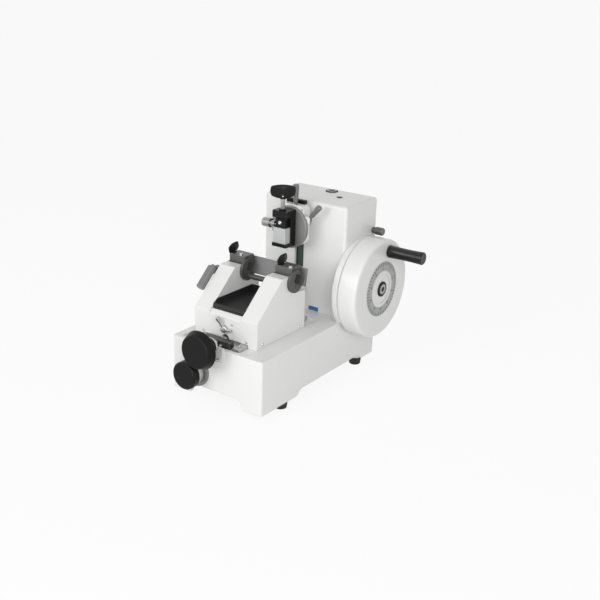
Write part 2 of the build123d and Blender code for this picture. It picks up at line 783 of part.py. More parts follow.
def thickness_knob():
    """Return the section thickness knob."""
    knob = turned(
        [
            (0, 0),
            (THICKNESS_KNOB_RADIUS - 2, 0),
            (THICKNESS_KNOB_RADIUS, 2),
            (THICKNESS_KNOB_RADIUS, THICKNESS_KNOB_LENGTH - 1),
            (THICKNESS_KNOB_RADIUS - 1, THICKNESS_KNOB_LENGTH),
            (0, THICKNESS_KNOB_LENGTH),
        ]
    )
    return Pos(THICKNESS_X, THICKNESS_KNOB_FACE_DEPTH, THICKNESS_Z) * TO_BACK * knob


def thickness_shaft():
    """Return the graduated sleeve, its shaft and the cam that sets the section thickness."""
    sleeve_start = THICKNESS_KNOB_FACE_DEPTH + THICKNESS_KNOB_LENGTH
    sleeve_end = -THICKNESS_FLANGE_THICKNESS - SLIDE_GAP
    shaft = rod_y((sleeve_start, sleeve_end), THICKNESS_SLEEVE_RADIUS, THICKNESS_X, THICKNESS_Z)
    shaft += rod_y((sleeve_end, THICKNESS_SHAFT_END), THICKNESS_SHAFT_RADIUS, THICKNESS_X, THICKNESS_Z)
    cam_start = THICKNESS_SHAFT_END - THICKNESS_CAM_LENGTH
    cam_x = THICKNESS_X + THICKNESS_CAM_OFFSET
    return shaft + rod_y((cam_start, THICKNESS_SHAFT_END), THICKNESS_CAM_RADIUS, cam_x, THICKNESS_Z)


def housing_cover():
    """Return the shell over the mechanism, open below, with the slot for the head."""
    width = 2 * COVER_HALF_WIDTH
    length = BASE_LENGTH - COVER_FRONT
    middle = (BASE_LENGTH + COVER_FRONT) / 2
    plan = RectangleRounded(width, length, COVER_EDGE)
    shell = Pos(0, middle, BASE_TOP) * extrude(plan, COVER_TOP - BASE_TOP)
    shell = fillet(shell.edges().group_by(Axis.Z)[-1], COVER_EDGE)
    inside_x = COVER_HALF_WIDTH - COVER_WALL
    inside_y = (COVER_FRONT + COVER_WALL, BASE_LENGTH - COVER_WALL)
    shell -= block((-inside_x, inside_x), inside_y, (0, COVER_TOP - COVER_WALL))
    boss = rod_z((BASE_TOP, BASE_TOP + COVER_BOSS_HEIGHT), COVER_BOSS_RADIUS, 0, 0)
    shell += joined(place * boss for place in cover_boss_places())
    roof = BASE_TOP - BASE_ROOF
    shell -= joined(place * cover_screw_hole(roof) for place in cover_boss_places())
    slot_x = (HEAD_X - SLOT_WIDTH / 2, HEAD_X + SLOT_WIDTH / 2)
    shell -= block(slot_x, (COVER_FRONT - COVER_WALL, inside_y[0]), (SLOT_BOTTOM, SLOT_TOP))
    hub_hole = HUB_RADIUS + COVER_HUB_GAP
    shell -= rod_x((inside_x - COVER_WALL, COVER_HALF_WIDTH), hub_hole, WHEEL_DEPTH, WHEEL_Z)
    lock_hole = LOCK_NECK_RADIUS + RUNNING_FIT
    shell -= rod_x((inside_x - COVER_WALL, COVER_HALF_WIDTH), lock_hole, LOCK_KNOB_DEPTH, LOCK_KNOB_Z)
    cap_span = (COVER_TOP - COVER_WALL, COVER_TOP)
    shell -= rod_z(cap_span, OIL_CAP_RADIUS / 2, OIL_CAP_X, OIL_CAP_DEPTH)
    return shell - rod_z(cap_span, PLUG_RADIUS / 2, PLUG_X, PLUG_DEPTH)


def cover_caps():
    """Return the oil filler cap and the small plug in the cover's top."""
    cap = rod_z((COVER_TOP, COVER_TOP + OIL_CAP_HEIGHT), OIL_CAP_RADIUS, OIL_CAP_X, OIL_CAP_DEPTH)
    cap = chamfer(cap.edges().group_by(Axis.Z)[-1], 0.6)
    stem = (COVER_TOP - COVER_WALL, COVER_TOP)
    cap += rod_z(stem, OIL_CAP_RADIUS / 2 - SCREW_PLAY, OIL_CAP_X, OIL_CAP_DEPTH)
    plug = rod_z((COVER_TOP, COVER_TOP + OIL_CAP_HEIGHT / 2), PLUG_RADIUS, PLUG_X, PLUG_DEPTH)
    plug += rod_z(stem, PLUG_RADIUS / 2 - SCREW_PLAY, PLUG_X, PLUG_DEPTH)
    return group([cap, plug])


def spindle_housing():
    """Return the round shroud behind the handwheel and the hub that carries the spindle."""
    back = COVER_HALF_WIDTH
    face = back + SHROUD_THICKNESS
    shroud = rod_x((back, face), SHROUD_RADIUS, WHEEL_DEPTH, WHEEL_Z)
    shroud = fillet(shroud.edges().group_by(Axis.X)[-1], SHROUD_EDGE)
    depths = (WHEEL_DEPTH - 2 * SHROUD_RADIUS, WHEEL_DEPTH + 2 * SHROUD_RADIUS)
    shroud -= block((back, face), depths, (0, BASE_TOP))
    shroud += rod_x((HUB_END_X, back), HUB_RADIUS, WHEEL_DEPTH, WHEEL_Z)
    for span in bush_spans():
        shroud -= rod_x(span, BUSH_RADIUS, WHEEL_DEPTH, WHEEL_Z)
    return shroud - rod_x((HUB_END_X, face), SPINDLE_RADIUS + 1, WHEEL_DEPTH, WHEEL_Z)


def bush_spans():
    """Return where the two spindle bushes start and end."""
    face = COVER_HALF_WIDTH + SHROUD_THICKNESS
    return [(HUB_END_X, HUB_END_X + BUSH_LENGTH), (face - BUSH_LENGTH, face)]


def spindle_bushes():
    """Return the two bronze bushes that the spindle turns in."""
    bore = SPINDLE_RADIUS + RUNNING_FIT
    return group(
        rod_x(span, BUSH_RADIUS, WHEEL_DEPTH, WHEEL_Z) - rod_x(span, bore, WHEEL_DEPTH, WHEEL_Z)
        for span in bush_spans()
    )


def guide_places():
    """Return the two guide rod axes."""
    return [(HEAD_X + side * GUIDE_SPACING / 2, GUIDE_DEPTH) for side in (-1, 1)]


def mechanism_frame():
    """Return the C-shaped frame that holds the guide rods."""
    depths = (FRAME_FRONT, FRAME_BACK)
    frame = block((FRAME_LEFT, FRAME_RIGHT), depths, (BASE_TOP, FRAME_TOP))
    room = (BASE_TOP + FRAME_BAR, FRAME_TOP - FRAME_BAR)
    frame -= block((FRAME_LEFT + FRAME_COLUMN, FRAME_RIGHT), depths, room)
    for x, depth in guide_places():
        frame -= rod_z((BASE_TOP + 2, FRAME_TOP - 2), GUIDE_RADIUS, x, depth)
    return frame - joined(place * screw_hole(BASE_ROOF, BASE_WALL) for place in frame_screw_places())


def guide_rods():
    """Return the two upright rods that guide the carriage."""
    return group(rod_z((BASE_TOP + 2, FRAME_TOP - 2), GUIDE_RADIUS, *place) for place in guide_places())


def handwheel():
    """Return the handwheel, hollow behind its face."""
    depth = WHEEL_FACE_X - WHEEL_BACK_X
    web = depth - WHEEL_WEB
    wheel = turned(
        [
            (SPINDLE_RADIUS, 0),
            (WHEEL_HUB_RADIUS, 0),
            (WHEEL_HUB_RADIUS, web),
            (WHEEL_RADIUS - WHEEL_RIM, web),
            (WHEEL_RADIUS - WHEEL_RIM, 0),
            (WHEEL_RADIUS, 0),
            (WHEEL_RADIUS, depth),
            (SPINDLE_RADIUS, depth),
        ]
    )
    rim_edge = wheel.edges().filter_by(GeomType.CIRCLE).group_by(Axis.Z)[-1].sort_by(SortBy.RADIUS)[-1]
    wheel = fillet(rim_edge, WHEEL_EDGE)
    wheel -= rod_z((depth - DIAL_RECESS, depth), DIAL_RADIUS, 0, 0)
    wheel += rod_z((depth - DIAL_RECESS, depth), DIAL_BORE_RADIUS, 0, 0)
    wheel -= rod_z((0, depth), SPINDLE_RADIUS, 0, 0)
    wheel = Pos(WHEEL_BACK_X, WHEEL_DEPTH, WHEEL_Z) * TO_RIGHT * wheel
    web = (WHEEL_FACE_X - WHEEL_WEB, WHEEL_FACE_X)
    return wheel - rod_x(web, HANDLE_PIN_RADIUS, HANDLE_DEPTH, HANDLE_Z)


def dial_ring():
    """Return the graduated ring in the handwheel's face."""
    span = (WHEEL_FACE_X - DIAL_RECESS, WHEEL_FACE_X - DIAL_RECESS + DIAL_THICKNESS)
    ring = rod_x(span, DIAL_RADIUS, WHEEL_DEPTH, WHEEL_Z)
    return ring - rod_x(span, DIAL_BORE_RADIUS, WHEEL_DEPTH, WHEEL_Z)


def hub_cap():
    """Return the cap over the spindle end."""
    cap = rod_x((WHEEL_FACE_X, WHEEL_FACE_X + HUB_CAP_HEIGHT), HUB_CAP_RADIUS, WHEEL_DEPTH, WHEEL_Z)
    return chamfer(cap.edges().group_by(Axis.X)[-1], 1)


def spindle():
    """Return the shaft from the handwheel to the crank disc."""
    return rod_x((CRANK_DISC_BACK_X, WHEEL_FACE_X), SPINDLE_RADIUS, WHEEL_DEPTH, WHEEL_Z)


def crank_pin_axis():
    """Return the depth and height of the crank pin."""
    angle = radians(CRANK_ANGLE)
    return WHEEL_DEPTH + CRANK_RADIUS * cos(angle), WHEEL_Z + CRANK_RADIUS * sin(angle)


def crank_disc():
    """Return the crank disc, lightened on the pin's side so that the far side balances it."""
    span = (CRANK_DISC_BACK_X, CRANK_DISC_FACE_X)
    disc = rod_x(span, CRANK_DISC_RADIUS, WHEEL_DEPTH, WHEEL_Z)
    spacer = (CRANK_DISC_FACE_X, HUB_END_X - SLIDE_GAP)
    disc += rod_x(spacer, CRANK_SPACER_RADIUS, WHEEL_DEPTH, WHEEL_Z)
    disc -= rod_x((CRANK_DISC_BACK_X, HUB_END_X), SPINDLE_RADIUS, WHEEL_DEPTH, WHEEL_Z)
    for turn in (-CRANK_SIDE_WINDOW_TURN, CRANK_SIDE_WINDOW_TURN):
        angle = radians(CRANK_ANGLE + turn)
        depth = WHEEL_DEPTH + CRANK_SIDE_WINDOW_PLACE * cos(angle)
        height = WHEEL_Z + CRANK_SIDE_WINDOW_PLACE * sin(angle)
        disc -= rod_x(span, CRANK_SIDE_WINDOW_RADIUS, depth, height)
    return disc - rod_x(span, CRANK_PIN_RADIUS, *crank_pin_axis())


def crank_pin():
    """Return the pin that drives the sliding block."""
    return rod_x((CRANK_BLOCK_START_X, CRANK_DISC_FACE_X), CRANK_PIN_RADIUS, *crank_pin_axis())


def crank_block():
    """Return the square block that rides in the carriage's yoke."""
    depth, height = crank_pin_axis()
    half = CRANK_BLOCK_SIDE / 2
    span = (CRANK_BLOCK_START_X, CRANK_DISC_BACK_X - SLIDE_GAP)
    slider = block(span, (depth - half, depth + half), (height - half, height + half))
    slider = chamfer(slider.edges().filter_by(Axis.X), 1)
    return slider - rod_x(span, CRANK_PIN_RADIUS + RUNNING_FIT, depth, height)


def handle_pin():
    """Return the pin that the crank handle turns on."""
    span = (WHEEL_FACE_X - WHEEL_WEB, HANDLE_PIN_END_X)
    return rod_x(span, HANDLE_PIN_RADIUS, HANDLE_DEPTH, HANDLE_Z)


def crank_handle():
    """Return the turning grip on the handwheel."""
    start = WHEEL_FACE_X + SLIDE_GAP
    length = HANDLE_END_X - start
    grip = turned(
        [
            (0, 0),
            (HANDLE_RADIUS - HANDLE_CHAMFER, 0),
            (HANDLE_RADIUS, HANDLE_CHAMFER),
            (HANDLE_WAIST_RADIUS, length / 2),
            (HANDLE_RADIUS, length - HANDLE_CHAMFER),
            (HANDLE_RADIUS - HANDLE_CHAMFER, length),
            (0, length),
        ]
    )
    bore = HANDLE_PIN_END_X + 1 - start
    grip -= rod_z((0, bore), HANDLE_PIN_RADIUS + RUNNING_FIT, 0, 0)
    return Pos(start, HANDLE_DEPTH, HANDLE_Z) * TO_RIGHT * grip


def wheel_lock_knob():
    """Return the knurled knob that locks the handwheel."""
    axis = (LOCK_KNOB_DEPTH, LOCK_KNOB_Z)
    knob = rod_x((LOCK_KNOB_START_X, LOCK_KNOB_END_X), LOCK_KNOB_RADIUS, *axis)
    knob = chamfer(knob.edges().group_by(Axis.X)[-1], 1.2)
    collar = (COVER_HALF_WIDTH + SLIDE_GAP, LOCK_KNOB_START_X)
    knob += rod_x(collar, LOCK_COLLAR_RADIUS, *axis)
    return knob + rod_x((COVER_HALF_WIDTH - 2 * COVER_WALL, LOCK_KNOB_START_X), LOCK_NECK_RADIUS, *axis)


def head_carriage():
    """Return the carriage with its yoke and the bracket for the advance screw."""
    span = (HEAD_X - CARRIAGE_HALF_WIDTH, HEAD_X + CARRIAGE_HALF_WIDTH)
    carriage = block(span, (CARRIAGE_FRONT, CARRIAGE_BACK), (CARRIAGE_BOTTOM, CARRIAGE_TOP))
    carriage = chamfer(carriage.edges().filter_by(Axis.Z), 2)
    carriage += advance_bracket()
    carriage += yoke()
    ram_bore = RAM_RADIUS + RUNNING_FIT
    carriage -= rod_y((CARRIAGE_FRONT, BRACKET_DEPTH), ram_bore, HEAD_X, HEAD_Z)
    for x, depth in guide_places():
        carriage -= rod_z((CARRIAGE_BOTTOM, CARRIAGE_TOP), GUIDE_RADIUS + 1, x, depth)
        for bush_span in carriage_bush_spans():
            carriage -= rod_z(bush_span, GUIDE_BUSH_RADIUS, x, depth)
    return carriage


def advance_bracket():
    """Return the two arms and the plate behind the carriage."""
    span = (HEAD_X - BRACKET_HALF_WIDTH, HEAD_X + BRACKET_HALF_WIDTH)
    heights = (HEAD_Z - BRACKET_HALF_HEIGHT, HEAD_Z + BRACKET_HALF_HEIGHT)
    back = BRACKET_DEPTH + BRACKET_THICKNESS
    bracket = block(span, (CARRIAGE_BACK, back), heights)
    room = (span[0] + BRACKET_ARM, span[1] - BRACKET_ARM)
    bracket -= block(room, (CARRIAGE_BACK, BRACKET_DEPTH), heights)
    bore = RATCHET_SCREW_RADIUS + RUNNING_FIT
    return bracket - rod_y((BRACKET_DEPTH, back), bore, HEAD_X, HEAD_Z)


def yoke():
    """Return the slotted plate that the crank block moves in."""
    span = (YOKE_RIGHT_X - YOKE_THICKNESS, YOKE_RIGHT_X)
    height = crank_pin_axis()[1]
    half_slot = CRANK_BLOCK_SIDE / 2 + SLIDE_GAP
    heights = (height - half_slot - YOKE_RIM, height + half_slot + YOKE_RIM)
    plate = block(span, (YOKE_START, YOKE_END), heights)
    slot_depths = (YOKE_START + YOKE_RIM / 2, YOKE_END - YOKE_RIM / 2)
    plate -= block(span, slot_depths, (height - half_slot, height + half_slot))
    return plate + block(span, (YOKE_START, YOKE_ARM_END), (heights[1], CARRIAGE_TOP))


def carriage_bush_spans():
    """Return where the bushes at the ends of the carriage start and end."""
    low = (CARRIAGE_BOTTOM, CARRIAGE_BOTTOM + GUIDE_BUSH_LENGTH)
    return [low, (CARRIAGE_TOP - GUIDE_BUSH_LENGTH, CARRIAGE_TOP)]


def carriage_bushes():
    """Return the four bronze bushes that slide on the guide rods."""
    bushes = []
    for x, depth in guide_places():
        for span in carriage_bush_spans():
            bush = rod_z(span, GUIDE_BUSH_RADIUS, x, depth)
            bushes.append(bush - rod_z(span, GUIDE_RADIUS + RUNNING_FIT, x, depth))
    return group(bushes)


def dust_strip():
    """Return the strip that follows the head behind the slot."""
    span = (HEAD_X - STRIP_WIDTH / 2, HEAD_X + STRIP_WIDTH / 2)
    depths = (CARRIAGE_FRONT - STRIP_THICKNESS, CARRIAGE_FRONT)
    return block(span, depths, (STRIP_BOTTOM, STRIP_TOP))


def specimen_ram():
    """Return the ram that carries the head forward, with the eye it tilts on."""
    ram = rod_y((RAM_SHOULDER, RAM_END), RAM_RADIUS, HEAD_X, HEAD_Z)
    thread_bore = RATCHET_SCREW_RADIUS + RUNNING_FIT
    ram -= rod_y((CARRIAGE_FRONT, RAM_END), thread_bore, HEAD_X, HEAD_Z)
    span = (HEAD_X - TONGUE_THICKNESS / 2, HEAD_X + TONGUE_THICKNESS / 2)
    ram += rod_x(span, TONGUE_RADIUS, TILT_DEPTH, HEAD_Z)
    heights = (HEAD_Z - TONGUE_RADIUS, HEAD_Z + TONGUE_RADIUS)
    ram += block(span, (TILT_DEPTH, RAM_SHOULDER), heights)
    return ram - rod_x(span, TILT_PIN_RADIUS + RUNNING_FIT, TILT_DEPTH, HEAD_Z)


def ratchet_screw():
    """Return the screw that advances the ram."""
    pawl_back = ratchet_front() + RATCHET_THICKNESS + PAWL_THICKNESS + 2 * SLIDE_GAP
    screw = rod_y((RATCHET_SCREW_START, pawl_back), RATCHET_SCREW_RADIUS, HEAD_X, HEAD_Z)
    head = (pawl_back, pawl_back + 3)
    return screw + rod_y(head, RATCHET_SCREW_HEAD_RADIUS, HEAD_X, HEAD_Z)


def ratchet_front():
    """Return the depth of the ratchet wheel's front face."""
    return BRACKET_DEPTH + BRACKET_THICKNESS + SLIDE_GAP


def ratchet_wheel():
    """Return the toothed wheel on the advance screw."""
    root = RATCHET_RADIUS - RATCHET_TOOTH
    points = []
    for tooth in range(RATCHET_TEETH):
        angle = 2 * pi * tooth / RATCHET_TEETH
        for radius in (root, RATCHET_RADIUS):
            points.append((radius * cos(angle), radius * sin(angle)))
    wheel = extrude(make_face(Polyline(*points, close=True)), RATCHET_THICKNESS)
    wheel -= rod_z((0, RATCHET_THICKNESS), RATCHET_SCREW_RADIUS, 0, 0)
    return Pos(HEAD_X, ratchet_front(), HEAD_Z) * TO_BACK * wheel


def pawl_arm():
    """Return the arm whose tooth turns the ratchet wheel."""
    start = ratchet_front() + RATCHET_THICKNESS + SLIDE_GAP
    depths = (start, start + PAWL_THICKNESS)
    arm = rod_y(depths, PAWL_HUB_RADIUS, HEAD_X, HEAD_Z)
    half = PAWL_WIDTH / 2
    arm += block((HEAD_X, HEAD_X + PAWL_REACH), depths, (HEAD_Z - half, HEAD_Z + half))
    tooth_x = (HEAD_X + RATCHET_RADIUS + 2 * SLIDE_GAP, HEAD_X + PAWL_REACH)
    arm += block(tooth_x, (ratchet_front(), start), (HEAD_Z - half, HEAD_Z + half))
    return arm - rod_y(depths, RATCHET_SCREW_RADIUS + RUNNING_FIT, HEAD_X, HEAD_Z)


def lever_socket():
    """Return the room for a lever's hub and its two stubs, about the lever's own axis."""
    width = LEVER_HUB_WIDTH / 2 + SLIDE_GAP
    stub_end = width + LEVER_STUB_LENGTH
    room = rod_y((-width, width), LEVER_HUB_RADIUS + SLIDE_GAP, 0, 0)
    return room + rod_y((-stub_end, stub_end), LEVER_STUB_RADIUS + RUNNING_FIT, 0, 0)


def lock_lever(length):
    """Return a tapered lever that stands on a hub with two stubs."""
    width = LEVER_HUB_WIDTH / 2
    stub_end = width + LEVER_STUB_LENGTH
    lever = rod_y((-width, width), LEVER_HUB_RADIUS, 0, 0)
    lever += rod_y((-stub_end, stub_end), LEVER_STUB_RADIUS, 0, 0)
    neck = min(LEVER_NECK_RADIUS, width - SLIDE_GAP)
    return lever + turned(
        [
            (0, 0),
            (neck, 0),
            (neck, LEVER_HUB_RADIUS + LEVER_NECK_START),
            (LEVER_NECK_RADIUS, LEVER_HUB_RADIUS + LEVER_NECK_END),
            (LEVER_TIP_RADIUS, length - LEVER_TIP_CHAMFER),
            (LEVER_TIP_RADIUS - LEVER_TIP_CHAMFER, length),
            (0, length),
        ]
    )


def tilt_lever_place():
    """Return the axis of the upright lever."""
    return Pos(TILT_LEVER_X, LEVER_DEPTH, TILT_LEVER_Z)


def roll_lever_place():
    """Return the axis of the leaning lever."""
    return Pos(ROLL_LEVER_X, LEVER_DEPTH, ROLL_LEVER_Z) * Rot(0, ROLL_LEVER_LEAN, 0)


def tilt_lock_lever():
    """Return the upright lever that locks the tilt."""
    return tilt_lever_place() * lock_lever(TILT_LEVER_LENGTH)


def roll_lock_lever():
    """Return the leaning lever that locks the turn of the clamp."""
    return roll_lever_place() * lock_lever(ROLL_LEVER_LENGTH)


def head_body():
    """Return the tilting block of the head with its tilt pin bore and lever slots."""
    corners = [
        (HEAD_LEFT, HEAD_BOTTOM),
        (HEAD_RIGHT, HEAD_BOTTOM),
        (HEAD_RIGHT, HEAD_TOP),
        (HEAD_LEFT, HEAD_TOP),
    ]
    body = prism_y(corners, (HEAD_FRONT, HEAD_BACK), HEAD_CORNER)
    body = chamfer(body.edges().group_by(Axis.Y)[0], 1)
    ear_x = (HEAD_RIGHT - 1, HEAD_RIGHT + ROLL_EAR_LENGTH)
    half_ear = ROLL_EAR_HEIGHT / 2
    ear_z = (ROLL_LEVER_Z - half_ear, ROLL_LEVER_Z + half_ear)
    ear = block(ear_x, (HEAD_FRONT, ROLL_EAR_BACK), ear_z)
    body += fillet(ear.edges().filter_by(Axis.Y).group_by(Axis.X)[-1], half_ear * 0.6)
    half_slot = LEVER_HUB_WIDTH / 2 + SLIDE_GAP
    slot_y = (LEVER_DEPTH - half_slot, LEVER_DEPTH + half_slot)
    body -= block((HEAD_RIGHT + SLIDE_GAP, HEAD_RIGHT + 2 * ROLL_EAR_LENGTH), slot_y, ear_z)
    body -= tilt_lever_slot(slot_y)
    body -= tilt_lever_place() * lever_socket()
    body -= roll_lever_place() * lever_socket()
    body -= tongue_pocket()
    body -= rod_x((HEAD_LEFT, HEAD_RIGHT), TILT_PIN_RADIUS, TILT_DEPTH, HEAD_Z)
    spigot = (HEAD_FRONT, HEAD_FRONT + HEAD_SPIGOT_LENGTH)
    body -= rod_y(spigot, HEAD_PIVOT_BORE_RADIUS, HEAD_X, HEAD_Z)
    socket = (HEAD_FRONT, HEAD_FRONT + HEAD_SOCKET_DEPTH)
    return body - rod_y(socket, HEAD_SOCKET_RADIUS, HEAD_SOCKET_X, HEAD_SOCKET_Z)


def tilt_lever_slot(slot_y):
    """Return the slot that the upright lever swings in."""
    rise = HEAD_TOP - TILT_LEVER_Z
    swing = LEVER_TIP_RADIUS + rise * sin(radians(TILT_LEVER_SWING)) + 2 * SLIDE_GAP
    span = (TILT_LEVER_X - swing, TILT_LEVER_X + swing)
    return block(span, slot_y, (TILT_LEVER_Z, HEAD_TOP))


def tongue_pocket():
    """Return the room around the ram's eye in which the head tilts."""
    half = TONGUE_THICKNESS / 2 + SLIDE_GAP
    front = TILT_DEPTH - TONGUE_RADIUS - SLIDE_GAP
    half_height = TONGUE_RADIUS + TONGUE_ROOM
    heights = (HEAD_Z - half_height, HEAD_Z + half_height)
    return block((HEAD_X - half, HEAD_X + half), (front, HEAD_BACK), heights)


def tilt_pin():
    """Return the pin that the head tilts on."""
    return rod_x((HEAD_LEFT + 1, HEAD_RIGHT - 1), TILT_PIN_RADIUS, TILT_DEPTH, HEAD_Z)


def head_cap():
    """Return the dark bar on top of the head."""
    cap = block((CAP_LEFT, CAP_RIGHT), (CAP_START, HEAD_BACK), (HEAD_TOP, HEAD_TOP + CAP_HEIGHT))
    return chamfer(cap.edges().group_by(Axis.Z)[-1], 0.8)


def clamp_disc():
    """Return the round flange that carries the specimen clamp."""
    disc = rod_y((DISC_FRONT, DISC_BACK), DISC_RADIUS, HEAD_X, HEAD_Z)
    disc = chamfer(disc.edges().group_by(Axis.Y)[0], 0.8)
    middle = (DISC_FRONT + DISC_BACK) / 2
    groove = (middle - DISC_GROOVE / 2, middle + DISC_GROOVE / 2)
    ring = rod_y(groove, DISC_RADIUS + 1, HEAD_X, HEAD_Z)
    disc -= ring - rod_y(groove, DISC_RADIUS - DISC_GROOVE, HEAD_X, HEAD_Z)
    spigot = (DISC_BACK, HEAD_FRONT + HEAD_SPIGOT_LENGTH - SLIDE_GAP)
    return disc + rod_y(spigot, HEAD_PIVOT_BORE_RADIUS - RUNNING_FIT, HEAD_X, HEAD_Z)


def clamp_frame():
    """Return the C-shaped frame of the specimen clamp."""
    profile = [
        (CLAMP_FRONT, CLAMP_BOTTOM),
        (DISC_FRONT, CLAMP_BOTTOM),
        (DISC_FRONT, CLAMP_TOP),
        (CLAMP_FRONT, CLAMP_TOP),
        (CLAMP_FRONT, CLAMP_BRIDGE_BOTTOM),
        (CLAMP_PLATE_FRONT, CLAMP_BRIDGE_BOTTOM),
        (CLAMP_PLATE_FRONT, CLAMP_JAW_TOP),
        (CLAMP_FRONT, CLAMP_JAW_TOP),
    ]
    span = (HEAD_X - CLAMP_HALF_WIDTH, HEAD_X + CLAMP_HALF_WIDTH)
    corners = [CLAMP_CORNER, 0, 0, CLAMP_CORNER, CLAMP_CORNER, 0, 0, CLAMP_CORNER]
    frame = prism_x(profile, span, corners)
    bore = CLAMP_SCREW_RADIUS + RUNNING_FIT
    return frame - rod_z((CLAMP_BRIDGE_BOTTOM, CLAMP_TOP), bore, HEAD_X, CLAMP_SCREW_DEPTH)


def specimen_block():
    """Return the holder block that is gripped in the clamp."""
    span = (HEAD_X - SPECIMEN_HALF_WIDTH, HEAD_X + SPECIMEN_HALF_WIDTH)
    specimen = block(span, (CLAMP_FRONT, CLAMP_PLATE_FRONT), (CLAMP_JAW_TOP, SPECIMEN_TOP))
    return chamfer(specimen.edges().group_by(Axis.Y)[0], 1)


def upper_jaw():
    """Return the jaw that the clamp screw moves."""
    span = (HEAD_X - JAW_HALF_WIDTH, HEAD_X + JAW_HALF_WIDTH)
    depths = (JAW_FRONT, CLAMP_PLATE_FRONT - SLIDE_GAP)
    bottom = SPECIMEN_TOP + SLIDE_GAP
    jaw = block(span, depths, (bottom, JAW_TOP))
    jaw = chamfer(jaw.edges().group_by(Axis.Y)[0], 0.8)
    bore = CLAMP_SCREW_RADIUS + RUNNING_FIT
    jaw -= rod_z((CLAMP_SCREW_TIP - 3, JAW_TOP), bore, HEAD_X, CLAMP_SCREW_DEPTH)
    side_bore = SIDE_SCREW_RADIUS + RUNNING_FIT
    jaw -= rod_x((span[0], SIDE_SCREW_TIP_X + 0.5), side_bore, SIDE_SCREW_DEPTH, SIDE_SCREW_Z)
    return jaw - rod_y((JAW_FRONT, JAW_FRONT + 2), SCREW_RADIUS + SCREW_PLAY, HEAD_X, JAW_SCREW_Z)


def jaw_screw():
    """Return the screw in the front of the upper jaw."""
    head = rod_y((JAW_FRONT - 2, JAW_FRONT), JAW_SCREW_HEAD_RADIUS, HEAD_X, JAW_SCREW_Z)
    head = chamfer(head.edges().group_by(Axis.Y)[0], 0.6)
    head -= rod_y((JAW_FRONT - 2, JAW_FRONT - 1), SCREW_SOCKET_RADIUS, HEAD_X, JAW_SCREW_Z)
    return head + rod_y((JAW_FRONT, JAW_FRONT + 2), SCREW_RADIUS, HEAD_X, JAW_SCREW_Z)


def wing_knob(span, height, thickness, hub_radius):
    """Return a two-winged knob that stands on the origin and is widest along X."""
    half = span / 2
    points = [
        (-half * 0.3, 0),
        (half * 0.3, 0),
        (half * 0.92, height * 0.22),
        (half, height * 0.72),
        (half * 0.45, height),
        (-half * 0.45, height),
        (-half, height * 0.72),
        (-half * 0.92, height * 0.22),
    ]
    rounding = [0, 0] + [height * 0.1] * 6
    wings = prism_y(points, (-thickness / 2, thickness / 2), rounding)
    wings = chamfer(wings.edges().filter_by(GeomType.LINE).group_by(Axis.Z)[-1], thickness * 0.12)
    return wings + rod_z((0, height * 0.5), hub_radius, 0, 0)


def specimen_wing_screw():
    """Return the clamp screw of the specimen clamp with its collar and winged knob."""
    spot = (HEAD_X, CLAMP_SCREW_DEPTH)
    screw = rod_z((CLAMP_SCREW_TIP, CLAMP_WING_BOTTOM), CLAMP_SCREW_RADIUS, *spot)
    collar = (CLAMP_TOP + SLIDE_GAP, CLAMP_TOP + SLIDE_GAP + CLAMP_COLLAR_HEIGHT)
    screw += rod_z(collar, CLAMP_COLLAR_RADIUS, *spot)
    knob = wing_knob(CLAMP_WING_SPAN, CLAMP_WING_HEIGHT, CLAMP_WING_THICKNESS, CLAMP_COLLAR_RADIUS)
    return screw + Pos(*spot, CLAMP_WING_BOTTOM) * Rot(0, 0, CLAMP_WING_TURN) * knob


def side_screw():
    """Return the knurled screw at the left of the upper jaw."""
    axis = (SIDE_SCREW_DEPTH, SIDE_SCREW_Z)
    screw = rod_x((SIDE_COLLAR_START_X, SIDE_SCREW_TIP_X), SIDE_SCREW_RADIUS, *axis)
    screw += rod_x((SIDE_COLLAR_END_X, SIDE_COLLAR_START_X), SIDE_COLLAR_RADIUS, *axis)
    knob = rod_x((SIDE_KNOB_END_X, SIDE_COLLAR_END_X), SIDE_KNOB_RADIUS, *axis)
    return screw + fillet(knob.edges().group_by(Axis.X)[0], 2)


def knife_holder():
    """Return the holder casting: two cheeks, an apron, a deck and a rear wall."""
    cheeks = ((HOLDER_LEFT, CHEEK_LEFT_INNER), (CHEEK_RIGHT_INNER, HOLDER_RIGHT))
    holder = joined(cheek(span) for span in cheeks)
    inner = (CHEEK_LEFT_INNER, CHEEK_RIGHT_INNER)
    apron = [
        (HOLDER_FRONT, APRON_BOTTOM),
        (HOLDER_FRONT + HOLDER_WALL, APRON_BOTTOM),
        (HOLDER_FRONT + HOLDER_WALL, DECK_TOP - DECK_THICKNESS),
        (HOLDER_BACK - HOLDER_WALL, DECK_TOP - DECK_THICKNESS),
        (HOLDER_BACK - HOLDER_WALL, REAR_WALL_BOTTOM),
        (HOLDER_BACK, REAR_WALL_BOTTOM),
        (HOLDER_BACK, DECK_TOP),
        (HOLDER_FRONT + APRON_SLOPE, DECK_TOP),
        (HOLDER_FRONT, APRON_TOP),
    ]
    holder += prism_x(apron, inner, [0, 0, 0, 0, 0, 0, 0, HOLDER_EDGE, HOLDER_EDGE])
    nut_x = (FEED_X - FEED_NUT_WIDTH / 2, FEED_X + FEED_NUT_WIDTH / 2)
    nut_y = (FEED_NUT_DEPTH, FEED_NUT_DEPTH + FEED_NUT_LENGTH)
    holder += block(nut_x, nut_y, (feed_nut_top(), DECK_TOP - DECK_THICKNESS))
    return holder - holder_holes()


